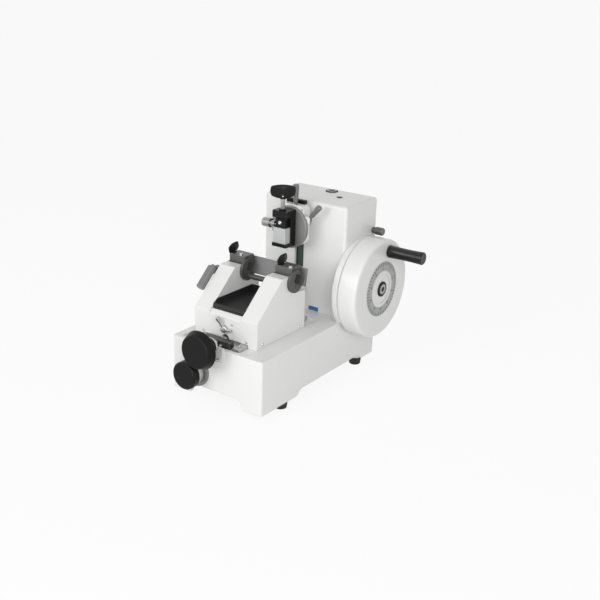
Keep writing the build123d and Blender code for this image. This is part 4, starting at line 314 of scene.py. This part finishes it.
PALE_EDGE = (0.86, 0.86, 0.85)
STEEL_EDGE = (0.62, 0.62, 0.61)
# Grey edge colour of dark parts: partly worn edges and partly a painted highlight along their rims.
GREY_WEAR_AND_HIGHLIGHT = (0.2, 0.2, 0.2)
FINISHES = (
    Finish(
        "white_paint", (0.82, 0.825, 0.81), 0.34, 0.0, Texture.ENAMEL, PALE_EDGE,
        edge_wear=0.25, coat=0.25, edge_radius=0.0012,
    ),
    Finish("plate_paint", (0.68, 0.69, 0.675), 0.4, 0.0, Texture.ENAMEL, PALE_EDGE, coat=0.1),
    Finish("rubber", (0.012, 0.012, 0.012), 0.72, 0.0, Texture.MOULDED, GREY_WEAR_AND_HIGHLIGHT, edge_wear=0.15),
    Finish(
        "screw_steel", (0.6, 0.6, 0.6), 0.2, 1.0, Texture.POLISHED, STEEL_EDGE,
        edge_wear=0.4, edge_radius=0.0003,
    ),
    Finish("ground_steel", (0.5, 0.5, 0.49), 0.28, 1.0, Texture.GROUND, STEEL_EDGE, edge_wear=0.5),
    Finish(
        "dark_steel", (0.085, 0.086, 0.084), 0.36, 0.75, Texture.GROUND, (0.36, 0.36, 0.35),
        edge_wear=0.75,
    ),
    Finish("knife_steel", (0.17, 0.172, 0.17), 0.42, 0.55, Texture.GROUND, (0.6, 0.6, 0.59), edge_wear=0.8),
    Finish("lever_grey", (0.2, 0.205, 0.2), 0.38, 0.35, Texture.ENAMEL, STEEL_EDGE),
    # Its large share of grey edge colour paints the thin highlight ring on the knobs' front rims.
    Finish(
        "black_plastic", (0.005, 0.0053, 0.0053), 0.4, 0.0, Texture.MOULDED, GREY_WEAR_AND_HIGHLIGHT,
        edge_wear=0.5, specular=0.16,
    ),
    Finish(
        "gloss_black", (0.004, 0.004, 0.004), 0.2, 0.0, Texture.POLISHED, GREY_WEAR_AND_HIGHLIGHT,
        edge_wear=0.2, specular=0.4,
    ),
    Finish(
        "black_oxide", (0.007, 0.007, 0.0075), 0.34, 0.0, Texture.CAST, GREY_WEAR_AND_HIGHLIGHT,
        edge_wear=0.4, specular=0.2,
    ),
    Finish("specimen_grey", (0.56, 0.57, 0.57), 0.5, 0.4, Texture.BLASTED, PALE_EDGE, edge_wear=0.4),
    Finish("dial_grey", (0.4, 0.405, 0.405), 0.42, 0.3, Texture.BLASTED, STEEL_EDGE, edge_wear=0.4),
    Finish(
        "knurled_steel", (0.34, 0.34, 0.33), 0.34, 1.0, Texture.GROUND, STEEL_EDGE,
        edge_wear=0.6, edge_radius=0.0003,
    ),
    Finish("bronze", (0.42, 0.25, 0.09), 0.32, 1.0, Texture.GROUND, (0.7, 0.5, 0.25), edge_wear=0.4),
    Finish("iron", (0.11, 0.115, 0.11), 0.5, 0.7, Texture.CAST, STEEL_EDGE),
    Finish("strip_green", (0.055, 0.072, 0.058), 0.55, 0.0, Texture.MOULDED, GREY_WEAR_AND_HIGHLIGHT, edge_wear=0.15),
    Finish("disc_grey", (0.26, 0.26, 0.255), 0.42, 0.5, Texture.POLISHED, STEEL_EDGE, edge_wear=0.85),
    Finish("cradle_steel", (0.1, 0.1, 0.098), 0.5, 0.5, Texture.GROUND, GREY_WEAR_AND_HIGHLIGHT, edge_wear=0.6),
    Finish("bracket_steel", (0.13, 0.13, 0.128), 0.42, 0.5, Texture.GROUND, STEEL_EDGE, edge_wear=0.7),
    Finish("stem_steel", (0.42, 0.42, 0.41), 0.3, 0.9, Texture.POLISHED, STEEL_EDGE, edge_radius=0.0002),
    Finish(
        "band_grey", (0.42, 0.42, 0.41), 0.4, 0.2, Texture.POLISHED, STEEL_EDGE,
        edge_wear=0.4, edge_radius=0.0002,
    ),
    Finish(
        "zone_white", (0.8, 0.8, 0.79), 0.4, 0.0, Texture.ENAMEL, PALE_EDGE,
        edge_wear=0.1, coat=0.1, edge_radius=0.0002,
    ),
    Finish(
        "tray_black", (0.022, 0.0225, 0.0225), 0.5, 0.0, Texture.MOULDED, GREY_WEAR_AND_HIGHLIGHT,
        edge_wear=0.5, specular=0.3,
    ),
    Finish("lever_chrome", (0.5, 0.5, 0.5), 0.16, 1.0, Texture.POLISHED, STEEL_EDGE, edge_radius=0.0003),
    Finish(
        "lock_grey", (0.16, 0.16, 0.155), 0.36, 0.8, Texture.GROUND, STEEL_EDGE,
        edge_wear=0.5, edge_radius=0.0003,
    ),
    Finish("tab_blue", (0.04, 0.16, 0.36), 0.35, 0.0, Texture.ENAMEL, (0.2, 0.35, 0.5)),
    Finish("marking_black", (0.01, 0.01, 0.01), 0.45, 0.0, Texture.ENAMEL, GREY_WEAR_AND_HIGHLIGHT, edge_wear=0.0),
)
MATERIALS = {finish.name: finish.build() for finish in FINISHES}


def mesh_piece(name: str, shape: Shape, finish: str, body: str) -> bpy.types.Object:
    """Make a piece from its points and faces, give it a finish and let it ride on a body.

    Args:
        name: The piece's name.
        shape: Its corner points in metres, in the frame, and its faces.
        finish: The name of its finish.
        body: The body that it moves with.

    Returns:
        The new object.
    """
    points, faces = shape
    mesh = bpy.data.meshes.new(name)
    mesh.from_pydata([tuple(point) for point in points], [], faces)
    mesh.validate()
    piece = bpy.data.objects.new(name, mesh)
    bpy.context.scene.collection.objects.link(piece)
    piece.data.materials.append(MATERIALS[finish])
    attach(piece, body)
    LOG.info("built %s", name)
    return piece


def soften(piece: bpy.types.Object, width: float, angle: float = 35.0, segments: int = 3) -> None:
    """Round a piece's sharp edges with geometry and shade it smooth.

    Args:
        piece: The object to soften.
        width: Width of the rounded edge in millimetres.
        angle: Edges sharper than this many degrees are rounded.
        segments: How many facets go across the rounded edge.
    """
    bevel = piece.modifiers.new("soft_edges", "BEVEL")
    bevel.width = width * MM
    bevel.segments = segments
    bevel.limit_method = "ANGLE"
    bevel.angle_limit = math.radians(angle)
    piece.data.shade_smooth()


def sweep(profile: Profile, centre: Vector, axis: Vector, steps: int) -> list[Vector]:
    """Carry the points of a profile round an axis.

    Args:
        profile: Pairs of radius and distance along the axis, in millimetres.
        centre: The point of the axis where that distance is 0, in metres.
        axis: The axis direction.
        steps: How many facets go round.

    Returns:
        The points in metres, ring after ring.
    """
    up = axis.normalized()
    side = up.orthogonal().normalized()
    points = []
    for radius, height in profile:
        for step in range(steps):
            spoke = Matrix.Rotation(math.tau * step / steps, 3, up) @ side
            points.append(centre + (up * height + spoke * radius) * MM)
    return points


def ring_faces(rings: int, steps: int) -> Faces:
    """Join rings with the same number of points into a closed tube.

    Args:
        rings: How many rings there are.
        steps: Points in each ring.

    Returns:
        The side faces and both end faces.
    """
    faces = []
    for ring in range(rings - 1):
        low = ring * steps
        for step in range(steps):
            after = (step + 1) % steps
            faces.append((low + step, low + after, low + steps + after, low + steps + step))
    faces.append(tuple(reversed(range(steps))))
    faces.append(tuple(range((rings - 1) * steps, rings * steps)))
    return faces


def turned(profile: Profile, centre: Vector, axis: Vector, steps: int) -> Shape:
    """Turn a profile round an axis into a closed shape.

    Args:
        profile: Pairs of radius and distance along the axis, in millimetres.
        centre: The point of the axis where that distance is 0, in metres.
        axis: The axis direction.
        steps: How many facets go round.

    Returns:
        The points and faces.
    """
    return sweep(profile, centre, axis, steps), ring_faces(len(profile), steps)


def washer(inner: float, outer: float, rise: float, centre: Vector, axis: Vector) -> Shape:
    """Make a flat ring.

    Args:
        inner: Bore radius in millimetres.
        outer: Outer radius in millimetres.
        rise: Thickness in millimetres.
        centre: Middle of its lower face, in metres.
        axis: Direction of its axis.

    Returns:
        The points and faces.
    """
    profile = [(inner, 0.0), (outer, 0.0), (outer, rise), (inner, rise)]
    faces = []
    for ring in range(len(profile)):
        low = ring * WASHER_STEPS
        high = (ring + 1) % len(profile) * WASHER_STEPS
        for step in range(WASHER_STEPS):
            after = (step + 1) % WASHER_STEPS
            faces.append((low + step, low + after, high + after, high + step))
    return sweep(profile, centre, axis, WASHER_STEPS), faces


def slab(low: Vector, high: Vector) -> Shape:
    """Make a box between two corners.

    Args:
        low: The corner with the smallest X, Y and Z, in metres.
        high: The corner with the largest.

    Returns:
        The points and faces.
    """
    points = [
        Vector((x, y, z)) for z in (low.z, high.z) for y in (low.y, high.y) for x in (low.x, high.x)
    ]
    faces = [(0, 2, 3, 1), (4, 5, 7, 6), (0, 1, 5, 4), (2, 6, 7, 3), (0, 4, 6, 2), (1, 3, 7, 5)]
    return points, faces


@dataclass
class CarriedNodes:
    """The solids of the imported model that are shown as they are.

    Args:
        own_finishes: Nodes whose finish differs from the rest of their slot.
    """

    own_finishes: dict[str, str]

    def build(self) -> None:
        """Give every node its finish in its own slots."""
        for node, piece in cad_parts.items():
            for slot in piece.material_slots:
                name = self.own_finishes.get(node, slot.material.name.split(".")[0])
                slot.material = MATERIALS[name]
            LOG.info("dressed %s", node)


@dataclass
class DialRing:
    """The graduated ring on the handwheel's face, in millimetres.

    Args:
        x: Face of the ring.
        depth: Centre's depth.
        z: Centre's height.
        outer: Radius at which the marks start.
        long_mark: Length of every numbered mark.
        short_mark: Length of the marks between.
        mark_width: Width of a mark.
        mark_height: How far marks and numbers stand out.
        number_radius: Radius of the numbers' middles.
        number_size: Height of the numbers' type.
        marks: How many marks go round.
        long_every: A long, numbered mark comes after this many.
        zone: Inner and outer radius of the white zone inside the numbers.
        zone_rise: How far that zone stands out.
        hub_x: Face of the hub.
        hub_band: Inner and outer radius of the hub's light band.
        hub_rise: How far that band stands out.
    """

    x: float = 143.4
    depth: float = 308.5
    z: float = 171.3
    outer: float = 51.5
    long_mark: float = 8.0
    short_mark: float = 5.6
    mark_width: float = 1.25
    mark_height: float = 0.12
    number_radius: float = 39.3
    number_size: float = 6.4
    marks: int = 50
    long_every: int = 5
    zone: tuple[float, float] = (28.0, 35.0)
    zone_rise: float = 0.12
    hub_x: float = 145.4
    hub_band: tuple[float, float] = (5.0, 9.5)
    hub_rise: float = 0.24

    def spoke(self, mark: int) -> tuple[Vector, Vector]:
        """Find which way a mark points.

        Args:
            mark: The mark's number, counted from the top.

        Returns:
            The direction outward and the direction across the mark.
        """
        turn = math.tau * mark / self.marks
        return Vector((0, math.sin(turn), math.cos(turn))), Vector((0, math.cos(turn), -math.sin(turn)))

    def mark_points(self, mark: int) -> list[Vector]:
        """Place the eight corners of a mark.

        Args:
            mark: The mark's number, counted from the top.

        Returns:
            The corners in metres, four on the ring and then four above them.
        """
        centre = place(self.x, self.depth, self.z)
        length = self.short_mark if mark % self.long_every else self.long_mark
        out, side = self.spoke(mark)
        points = []
        for lift in (0.0, self.mark_height):
            for reach in (self.outer, self.outer - length):
                for half_width in (-self.mark_width / 2, self.mark_width / 2):
                    offset = out * reach + side * half_width + TO_THE_RIGHT * lift
                    points.append(centre + offset * MM)
        return points

    def build_marks(self) -> None:
        """Build all the marks as one thin raised piece, open towards the ring."""
        points = []
        faces = []
        for mark in range(self.marks):
            first = len(points)
            corners = ((4, 5, 7, 6), (0, 4, 6, 2), (1, 3, 7, 5), (0, 1, 5, 4), (2, 6, 7, 3))
            faces.extend(tuple(first + corner for corner in face) for face in corners)
            points.extend(self.mark_points(mark))
        mesh_piece("dial_marks", (points, faces), "marking_black", "wheel")

    def build_number(self, mark: int) -> None:
        """Build the plain number beside a long mark.

        Args:
            mark: The mark's number, counted from the top.
        """
        name = f"dial_number_{mark}"
        curve = bpy.data.curves.new(name, "FONT")
        curve.body = str(mark)
        curve.size = self.number_size * MM
        curve.extrude = self.mark_height * MM / 2
        curve.align_x = "CENTER"
        curve.align_y = "CENTER"
        curve.materials.append(MATERIALS["marking_black"])
        out, _ = self.spoke(mark)
        axes = Matrix((out.cross(TO_THE_RIGHT), out, TO_THE_RIGHT)).transposed()
        spot = place(self.x + self.mark_height / 2, self.depth, self.z) + out * self.number_radius * MM
        holder = bpy.data.objects.new(name, curve)
        bpy.context.scene.collection.objects.link(holder)
        holder.matrix_world = Matrix.Translation(spot) @ axes.to_4x4()
        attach(holder, "wheel")
        LOG.info("built %s", name)

    def build_bands(self) -> None:
        """Build the white inner zone and the hub's lighter band."""
        face = place(self.x, self.depth, self.z)
        zone = washer(*self.zone, self.zone_rise, face, TO_THE_RIGHT)
        mesh_piece("dial_inner_zone", zone, "zone_white", "wheel")
        hub = place(self.hub_x, self.depth, self.z)
        band = washer(*self.hub_band, self.hub_rise, hub, TO_THE_RIGHT)
        mesh_piece("hub_band", band, "band_grey", "wheel")

    def build(self) -> None:
        """Build the ring's marks, numbers and bands."""
        self.build_marks()
        for mark in range(0, self.marks, self.long_every):
            self.build_number(mark)
        self.build_bands()


@dataclass
class FrontTab:
    """The plain coloured tab at the foot of the housing's front, in millimetres.

    Args:
        left: Left side.
        right: Right side.
        bottom: Lower edge's height.
        top: Upper edge's height.
        face: Depth of the housing's front face.
        thickness: How far the tab stands out.
        rounding: Width of its rounded edges.
    """

    left: float = 16.0
    right: float = 38.0
    bottom: float = 116.0
    top: float = 124.0
    face: float = 254.8
    thickness: float = 0.8
    rounding: float = 0.25

    def build(self) -> None:
        """Build the tab with rounded edges."""
        low = place(self.left, self.face - self.thickness, self.bottom)
        high = place(self.right, self.face, self.top)
        piece = mesh_piece("front_tab", slab(low, high), "tab_blue", "machine")
        soften(piece, self.rounding)


@dataclass(frozen=True)
class WingForm:
    """How every pair of wings is rounded. Its shares are of the height or the thickness.

    Args:
        end_power: How squarely the wings end.
        reach: How much of the half span the loft takes in.
        low_middle: Lower edge at the hub.
        low_rise: How much higher the lower edge is at the ends.
        low_power: How late that rise comes.
        top_fall: How much lower the upper edge is at the ends.
        mean_thickness: Middle of the thickness.
        swell: How much the thickness swells at the hub and shrinks at the ends.
        side_power: How flat the sides are.
        rim_power: How flat the upper and the lower edge are.
        stations: How many sections the loft has.
        ring_points: Points in each section.
    """

    end_power: float = 22.0
    reach: float = 0.999
    low_middle: float = 0.02
    low_rise: float = 0.26
    low_power: float = 2.2
    top_fall: float = 0.12
    mean_thickness: float = 0.66
    swell: float = 0.34
    side_power: float = 0.6
    rim_power: float = 0.45
    stations: int = 49
    ring_points: int = 36

    def section(self, share: float) -> tuple[float, float, float]:
        """Size the section at a share of the half span.

        Args:
            share: From -1 at one end to 1 at the other.

        Returns:
            Middle height, half height and half thickness, as shares.
        """
        out = abs(share)
        closing = math.sqrt(max(0.0, 1.0 - out**self.end_power))
        low = self.low_middle + self.low_rise * out**self.low_power
        top = 1.0 - self.top_fall * out**2
        half_thickness = (self.mean_thickness + self.swell * math.cos(math.pi * out)) / 2
        return (top + low) / 2, (top - low) / 2 * closing, half_thickness * closing


@dataclass
class WingScrew:
    """A clamp screw with a stem and a curved two-winged knob, in place of its carried node.

    Lengths are in millimetres but for the foot.

    Args:
        node: The carried node that it stands for.
        body: The body that it turns with.
        foot: The knob's foot on the screw's axis, in metres.
        up: Direction of the axis.
        along: Direction in which the wings are widest.
        span: Width over both wings.
        height: Height of the wings.
        thickness: Thickness at the hub.
        stem_radius: Radius of the stem.
        stem_length: Length of the stem below the foot.
        collar: Radius, height and distance below the foot of the collar, or None.
        form: How the wings are rounded.
        pitch: Length of one turn of the thread.
        thread_flank: Length from a crest to the next valley.
        thread_depth: Depth of the thread.
        stem_chamfer: Chamfer at the stem's end.
        thread_start: Plain length at the stem's end.
        plain_top: Plain length under the foot.
        into_hub: How far the stem runs into the hub.
        stem_steps: Facets round the stem.
        hub_share: Radius of the hub as a share of the thickness.
        hub_profile: The hub's shares of its radius and of the wings' height, from its foot up.
        hub_rounding: Width of the hub's rounded edges.
        knob_steps: Facets round the hub and the collar.
        pin_radius: Radius of the pin through the hub.
        pin_tip_radius: Radius of the pin's ends.
        pin_height: Height of the pin as a share of the wings' height.
        pin_proud: How far the pin stands out of the hub.
        pin_chamfer: Length of the pin's chamfer.
        pin_steps: Facets round the pin.
        collar_chamfer: Chamfer of the collar.
    """

    node: str
    body: str
    foot: Vector
    up: Vector
    along: Vector
    span: float
    height: float
    thickness: float
    stem_radius: float
    stem_length: float
    collar: tuple[float, float, float] | None = None
    form: WingForm = WingForm()
    pitch: float = 1.25
    thread_flank: float = 0.5
    thread_depth: float = 0.35
    stem_chamfer: float = 0.8
    thread_start: float = 1.5
    plain_top: float = 3.0
    into_hub: float = 1.0
    stem_steps: int = 32
    hub_share: float = 0.62
    hub_profile: tuple[tuple[float, float], ...] = ((0.75, 0.0), (1.0, 0.06), (1.0, 0.3), (0.8, 0.42))
    hub_rounding: float = 0.3
    knob_steps: int = 40
    pin_radius: float = 1.3
    pin_tip_radius: float = 0.9
    pin_height: float = 0.22
    pin_proud: float = 0.35
    pin_chamfer: float = 0.3
    pin_steps: int = 20
    collar_chamfer: float = 0.5

    def build_wings(self) -> bpy.types.Object:
        """Loft both wings as one piece.

        Returns:
            The piece.
        """
        form = self.form
        across = self.up.cross(self.along)
        points = []
        for station in range(form.stations):
            share = form.reach * (2 * station / (form.stations - 1) - 1)
            middle, half_height, half_thickness = form.section(share)
            for step in range(form.ring_points):
                turn = math.tau * step / form.ring_points
                lean = math.copysign(abs(math.cos(turn)) ** form.side_power, math.cos(turn))
                rise = math.copysign(abs(math.sin(turn)) ** form.rim_power, math.sin(turn))
                offset = self.along * (share * self.span / 2)
                offset += self.up * (self.height * (middle + half_height * rise))
                offset += across * (self.thickness * half_thickness * lean)
                points.append(self.foot + offset * MM)
        shape = (points, ring_faces(form.stations, form.ring_points))
        piece = mesh_piece(f"{self.node}_wings", shape, "black_oxide", self.body)
        piece.data.shade_smooth()
        return piece

    def build_stem(self) -> None:
        """Build the steel stem with its thread's turns."""
        radius = self.stem_radius
        end = -self.stem_length
        profile = [(radius - self.stem_chamfer, end), (radius, end + self.stem_chamfer)]
        height = end + self.thread_start
        while height < -self.plain_top - self.into_hub:
            profile.append((radius, height))
            profile.append((radius - self.thread_depth, height + self.thread_flank))
            height += self.pitch
        profile.extend([(radius, -self.plain_top), (radius, self.into_hub)])
        stem = turned(profile, self.foot, self.up, self.stem_steps)
        mesh_piece(f"{self.node}_stem", stem, "stem_steel", self.body)

    def build_hub(self) -> None:
        """Build the round hub under the wings, a little narrower at its foot and its top."""
        radius = self.thickness * self.hub_share
        profile = [(radius * wide, self.height * high) for wide, high in self.hub_profile]
        hub = turned(profile, self.foot, self.up, self.knob_steps)
        piece = mesh_piece(f"{self.node}_hub", hub, "black_oxide", self.body)
        soften(piece, self.hub_rounding)

    def build_pin(self) -> None:
        """Build the small bright pin that holds the knob on its stem."""
        reach = self.thickness * self.hub_share + self.pin_proud
        middle = self.foot + self.up * self.height * self.pin_height * MM
        profile = [
            (self.pin_tip_radius, -reach),
            (self.pin_radius, self.pin_chamfer - reach),
            (self.pin_radius, reach - self.pin_chamfer),
            (self.pin_tip_radius, reach),
        ]
        pin = turned(profile, middle, self.up.cross(self.along), self.pin_steps)
        mesh_piece(f"{self.node}_pin", pin, "screw_steel", self.body)

    def build_collar(self) -> None:
        """Build the collar that keeps the screw in its frame, where there is one."""
        if self.collar is None:
            return
        radius, height, below = self.collar
        chamfer = self.collar_chamfer
        profile = [
            (radius - chamfer, -below),
            (radius, chamfer - below),
            (radius, height - below - chamfer),
            (radius - chamfer, height - below),
        ]
        collar = turned(profile, self.foot, self.up, self.knob_steps)
        mesh_piece(f"{self.node}_collar", collar, "black_oxide", self.body)

    def build(self) -> None:
        """Build the screw and let it stand for its node."""
        wings = self.build_wings()
        self.build_stem()
        self.build_hub()
        self.build_pin()
        self.build_collar()
        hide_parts(self.node)


@dataclass
class CrankHandle:
    """The polished handle on the wheel, turned with a slight waist, in place of its carried node.

    Its lengths are in millimetres.

    Args:
        depth: Depth of the handle's axis.
        z: Height of the axis.
        start: Inner end, to the right.
        end: Outer end.
        radius: Radius at both ends.
        waist: Radius in the middle.
        rounding: Radius of the rounded ends.
        bore_radius: Radius of the bore for the pin.
        bore_length: Depth of the bore from the inner end.
        dish_radius: Radius of the shallow dish in the outer end.
        dish_depth: Depth of the dish.
        centre_radius: Radius at which the end faces close on the axis.
        sharp_angle: Edges sharper than this many degrees stay sharp.
        steps: Facets round the handle.
        stations: Sections along the waist.
        arc_steps: Facets over a rounded end.
    """

    depth: float = 328.4
    z: float = 240.4
    start: float = 143.1
    end: float = 215.0
    radius: float = 12.0
    waist: float = 11.1
    rounding: float = 2.2
    bore_radius: float = 5.2
    bore_length: float = 62.9
    dish_radius: float = 4.7
    dish_depth: float = 0.6
    centre_radius: float = 0.3
    sharp_angle: float = 50.0
    steps: int = 96
    stations: int = 24
    arc_steps: int = 6

    def profile(self) -> Profile:
        """Work out the handle's outline.

        Returns:
            Pairs of radius and distance, from the bore's bottom round the outside to the dish.
        """
        length = self.end - self.start
        bottom = self.bore_length
        dish = length - self.dish_depth
        inner = [(self.centre_radius, bottom), (self.bore_radius, bottom), (self.bore_radius, 0.0)]
        outer = [(self.dish_radius, dish), (self.centre_radius, dish)]
        for step in range(self.arc_steps + 1):
            turn = math.pi / 2 * step / self.arc_steps
            radius = self.radius - self.rounding * (1 - math.sin(turn))
            along = self.rounding * (1 - math.cos(turn))
            inner.append((radius, along))
            outer.insert(0, (radius, length - along))
        middle = []
        for station in range(1, self.stations):
            share = station / self.stations
            radius = self.radius - (self.radius - self.waist) * math.sin(math.pi * share)
            middle.append((radius, self.rounding + (length - 2 * self.rounding) * share))
        return inner + middle + outer

    def build(self) -> None:
        """Build the handle and let it stand for its node."""
        centre = place(self.start, self.depth, self.z)
        handle = turned(self.profile(), centre, TO_THE_RIGHT, self.steps)
        piece = mesh_piece("crank_handle_turned", handle, "gloss_black", "crank_grip")
        piece.data.shade_smooth()
        piece.data.set_sharp_from_angle(angle=math.radians(self.sharp_angle))
        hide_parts("crank_handle")


@dataclass
class OilCap:
    """The raised band of the large cap on the housing's top, whose lighter grey is a painted highlight, in
    millimetres.

    Args:
        x: Its middle, to the right.
        depth: Depth of its middle.
        top: Height of the cap's upper face.
        inner: Inner radius of the band.
        outer: Outer radius.
        rise: How far the band stands out.
        rounding: Width of its rounded edges.
    """

    x: float = 1.0
    depth: float = 343.0
    top: float = 330.1
    inner: float = 6.4
    outer: float = 9.6
    rise: float = 0.35
    rounding: float = 0.1

    def build(self) -> None:
        """Build the raised band, whose lighter grey is a painted highlight."""
        centre = place(self.x, self.depth, self.top)
        band = washer(self.inner, self.outer, self.rise, centre, UPWARD)
        piece = mesh_piece("oil_cap_highlight_band", band, "band_grey", "machine")
        soften(piece, self.rounding)


@dataclass(frozen=True)
class Lamp:
    """A square soft lamp.

    Args:
        name: Its name.
        at: Where it stands, in metres.
        side: Side of its face, in metres.
        watts: Its power.
    """

    name: str
    at: tuple[float, float, float]
    side: float
    watts: float


@dataclass
class Studio:
    """The pale floor, the soft lamps and the camera at the photograph's angle, in metres.

    Args:
        eye: Where the camera stands.
        right: The camera's direction to the right.
        up: Its direction upward.
        back: Its direction away from the object.
        lens: Focal length in millimetres.
        sensor: Width of the sensor in millimetres.
        floor_side: Side of the floor.
        floor_tone: Grey of the floor where light falls on it.
        floor_roughness: Its roughness.
        white_share: How much of the floor's look is plain white.
        surround: Strength of the even light from all sides.
        look_at: The point that the lamps face.
        lamps: The lamps.
    """

    eye: tuple[float, float, float] = (0.9504, -1.2978, 0.7494)
    right: tuple[float, float, float] = (0.814, 0.580, 0.028)
    up: tuple[float, float, float] = (-0.223, 0.268, 0.937)
    back: tuple[float, float, float] = (0.536, -0.769, 0.348)
    lens: float = 55.55
    sensor: float = 36.0
    floor_side: float = 300.0
    floor_tone: float = 0.9
    floor_roughness: float = 0.9
    white_share: float = 0.9
    surround: float = 0.44
    look_at: tuple[float, float, float] = (0.0, 0.0, 0.18)
    lamps: tuple[Lamp, ...] = (
        Lamp("key_lamp", (-0.5, -2.1, 1.1), 1.4, 19.0),
        Lamp("fill_lamp", (1.4, -1.5, 0.9), 1.2, 17.0),
    )

    def build_camera(self) -> None:
        """Set the camera where the photograph was taken from."""
        camera = bpy.data.cameras.new("camera")
        camera.lens = self.lens
        camera.sensor_width = self.sensor
        holder = bpy.data.objects.new("camera", camera)
        axes = Matrix((self.right, self.up, self.back)).transposed()
        holder.matrix_world = Matrix.Translation(self.eye) @ axes.to_4x4()
        bpy.context.scene.collection.objects.link(holder)
        bpy.context.scene.camera = holder

    def white_rays(self, tree: bpy.types.NodeTree) -> bpy.types.NodeSocket:
        """Find the rays that are shown plain white.

        Args:
            tree: The node tree of the floor or the world.

        Returns:
            A socket that holds 1 for the camera's rays and for reflections.
        """
        path = tree.nodes.new("ShaderNodeLightPath")
        return math_node(tree, "MAXIMUM", path.outputs["Is Camera Ray"], path.outputs["Is Glossy Ray"])

    def floor_material(self) -> bpy.types.Material:
        """Make the floor's material, which looks white and still takes the object's shadow.

        Returns:
            The material.
        """
        material = bpy.data.materials.new("floor")
        material.use_nodes = True
        tree = material.node_tree
        shader = tree.nodes["Principled BSDF"]
        shader.inputs["Base Color"].default_value = (self.floor_tone, self.floor_tone, self.floor_tone, 1)
        shader.inputs["Roughness"].default_value = self.floor_roughness
        white = tree.nodes.new("ShaderNodeEmission")
        white.inputs["Strength"].default_value = 1.0
        mix = tree.nodes.new("ShaderNodeMixShader")
        share = math_node(tree, "MULTIPLY", self.white_rays(tree), self.white_share)
        tree.links.new(share, mix.inputs[0])
        tree.links.new(shader.outputs[0], mix.inputs[1])
        tree.links.new(white.outputs[0], mix.inputs[2])
        tree.links.new(mix.outputs[0], tree.nodes["Material Output"].inputs["Surface"])
        return material

    def build_floor(self) -> None:
        """Build the floor, which the camera sees as white with the object's soft shadow."""
        half = self.floor_side / 2
        mesh = bpy.data.meshes.new("floor")
        corners = [(-half, -half, 0), (half, -half, 0), (half, half, 0), (-half, half, 0)]
        mesh.from_pydata(corners, [], [(0, 1, 2, 3)])
        mesh.materials.append(self.floor_material())
        floor = bpy.data.objects.new("floor", mesh)
        bpy.context.scene.collection.objects.link(floor)

    def build_world(self) -> None:
        """Light the scene evenly, and show white to the camera and to reflections."""
        world = bpy.data.worlds.new("studio")
        bpy.context.scene.world = world
        world.use_nodes = True
        tree = world.node_tree
        light = tree.nodes["Background"]
        light.inputs["Color"].default_value = (1, 1, 1, 1)
        light.inputs["Strength"].default_value = self.surround
        white = tree.nodes.new("ShaderNodeBackground")
        white.inputs["Strength"].default_value = 1.0
        white.inputs["Color"].default_value = (1, 1, 1, 1)
        mix = tree.nodes.new("ShaderNodeMixShader")
        tree.links.new(self.white_rays(tree), mix.inputs[0])
        tree.links.new(light.outputs[0], mix.inputs[1])
        tree.links.new(white.outputs[0], mix.inputs[2])
        tree.links.new(mix.outputs[0], tree.nodes["World Output"].inputs["Surface"])

    def build_lamp(self, lamp: Lamp) -> None:
        """Build one soft lamp that looks at the object.

        Args:
            lamp: What to build.
        """
        light = bpy.data.lights.new(lamp.name, "AREA")
        light.size = lamp.side
        light.energy = lamp.watts
        holder = bpy.data.objects.new(lamp.name, light)
        holder.location = lamp.at
        way = Vector(self.look_at) - Vector(lamp.at)
        holder.rotation_euler = way.to_track_quat("-Z", "Y").to_euler()
        bpy.context.scene.collection.objects.link(holder)

    def build(self) -> None:
        """Build the camera, floor, world and lamps."""
        self.build_camera()
        self.build_floor()
        self.build_world()
        for lamp in self.lamps:
            self.build_lamp(lamp)
        bpy.context.scene.view_settings.view_transform = "Standard"
        LOG.info("built the studio")


OWN_FINISHES = {
    "clamp_disc": "disc_grey",
    "waste_tray": "tray_black",
    "holder_clamp_lever": "lever_chrome",
    "wheel_lock_knob": "lock_grey",
    "knife_cradle": "cradle_steel",
    "knife_brackets": "bracket_steel",
}


SPECIMEN_WING_TURN = 38.0
KNIFE_WING_LEAN = 15.0
KNIFE_WING_PLACES = {"left": -73.0, "right": 37.0}


def specimen_wing_screw() -> WingScrew:
    """Size the specimen clamp's screw.

    Returns:
        The screw, upright, with a collar in the clamp's frame.
    """
    turn = math.radians(SPECIMEN_WING_TURN)
    return WingScrew(
        node="specimen_wing_screw",
        body="clamp_screw",
        foot=place(-10.0, 199.0, 339.0),
        up=UPWARD,
        along=Vector((math.cos(turn), math.sin(turn), 0)),
        span=46.0,
        height=26.0,
        thickness=11.0,
        stem_radius=4.0,
        stem_length=48.0,
        collar=(7.0, 3.0, 20.7),
    )


def knife_wing_screw(side: str) -> WingScrew:
    """Size one of the knife's two clamp screws.

    Args:
        side: "left" or "right".

    Returns:
        The screw, which leans forward with the knife.
    """
    lean = math.radians(KNIFE_WING_LEAN)
    return WingScrew(
        node=f"{side}_wing_screw",
        body=f"{side}_wing",
        foot=place(KNIFE_WING_PLACES[side], 139.6, 240.0),
        up=Vector((0, -math.sin(lean), math.cos(lean))),
        along=Vector((0, math.cos(lean), math.sin(lean))),
        span=28.0,
        height=18.0,
        thickness=8.0,
        stem_radius=3.0,
        stem_length=26.0,
    )


def main() -> None:
    """Build every sub-assembly's dressing."""
    logging.basicConfig(level=logging.INFO, format="%(message)s")
    screws = [specimen_wing_screw(), *(knife_wing_screw(side) for side in KNIFE_WING_PLACES)]
    carried = CarriedNodes(OWN_FINISHES)
    for part in (carried, DialRing(), FrontTab(), CrankHandle(), OilCap(), *screws, Studio()):
        part.build()
    bpy.context.view_layer.update()


if __name__ == "__main__":
    main()
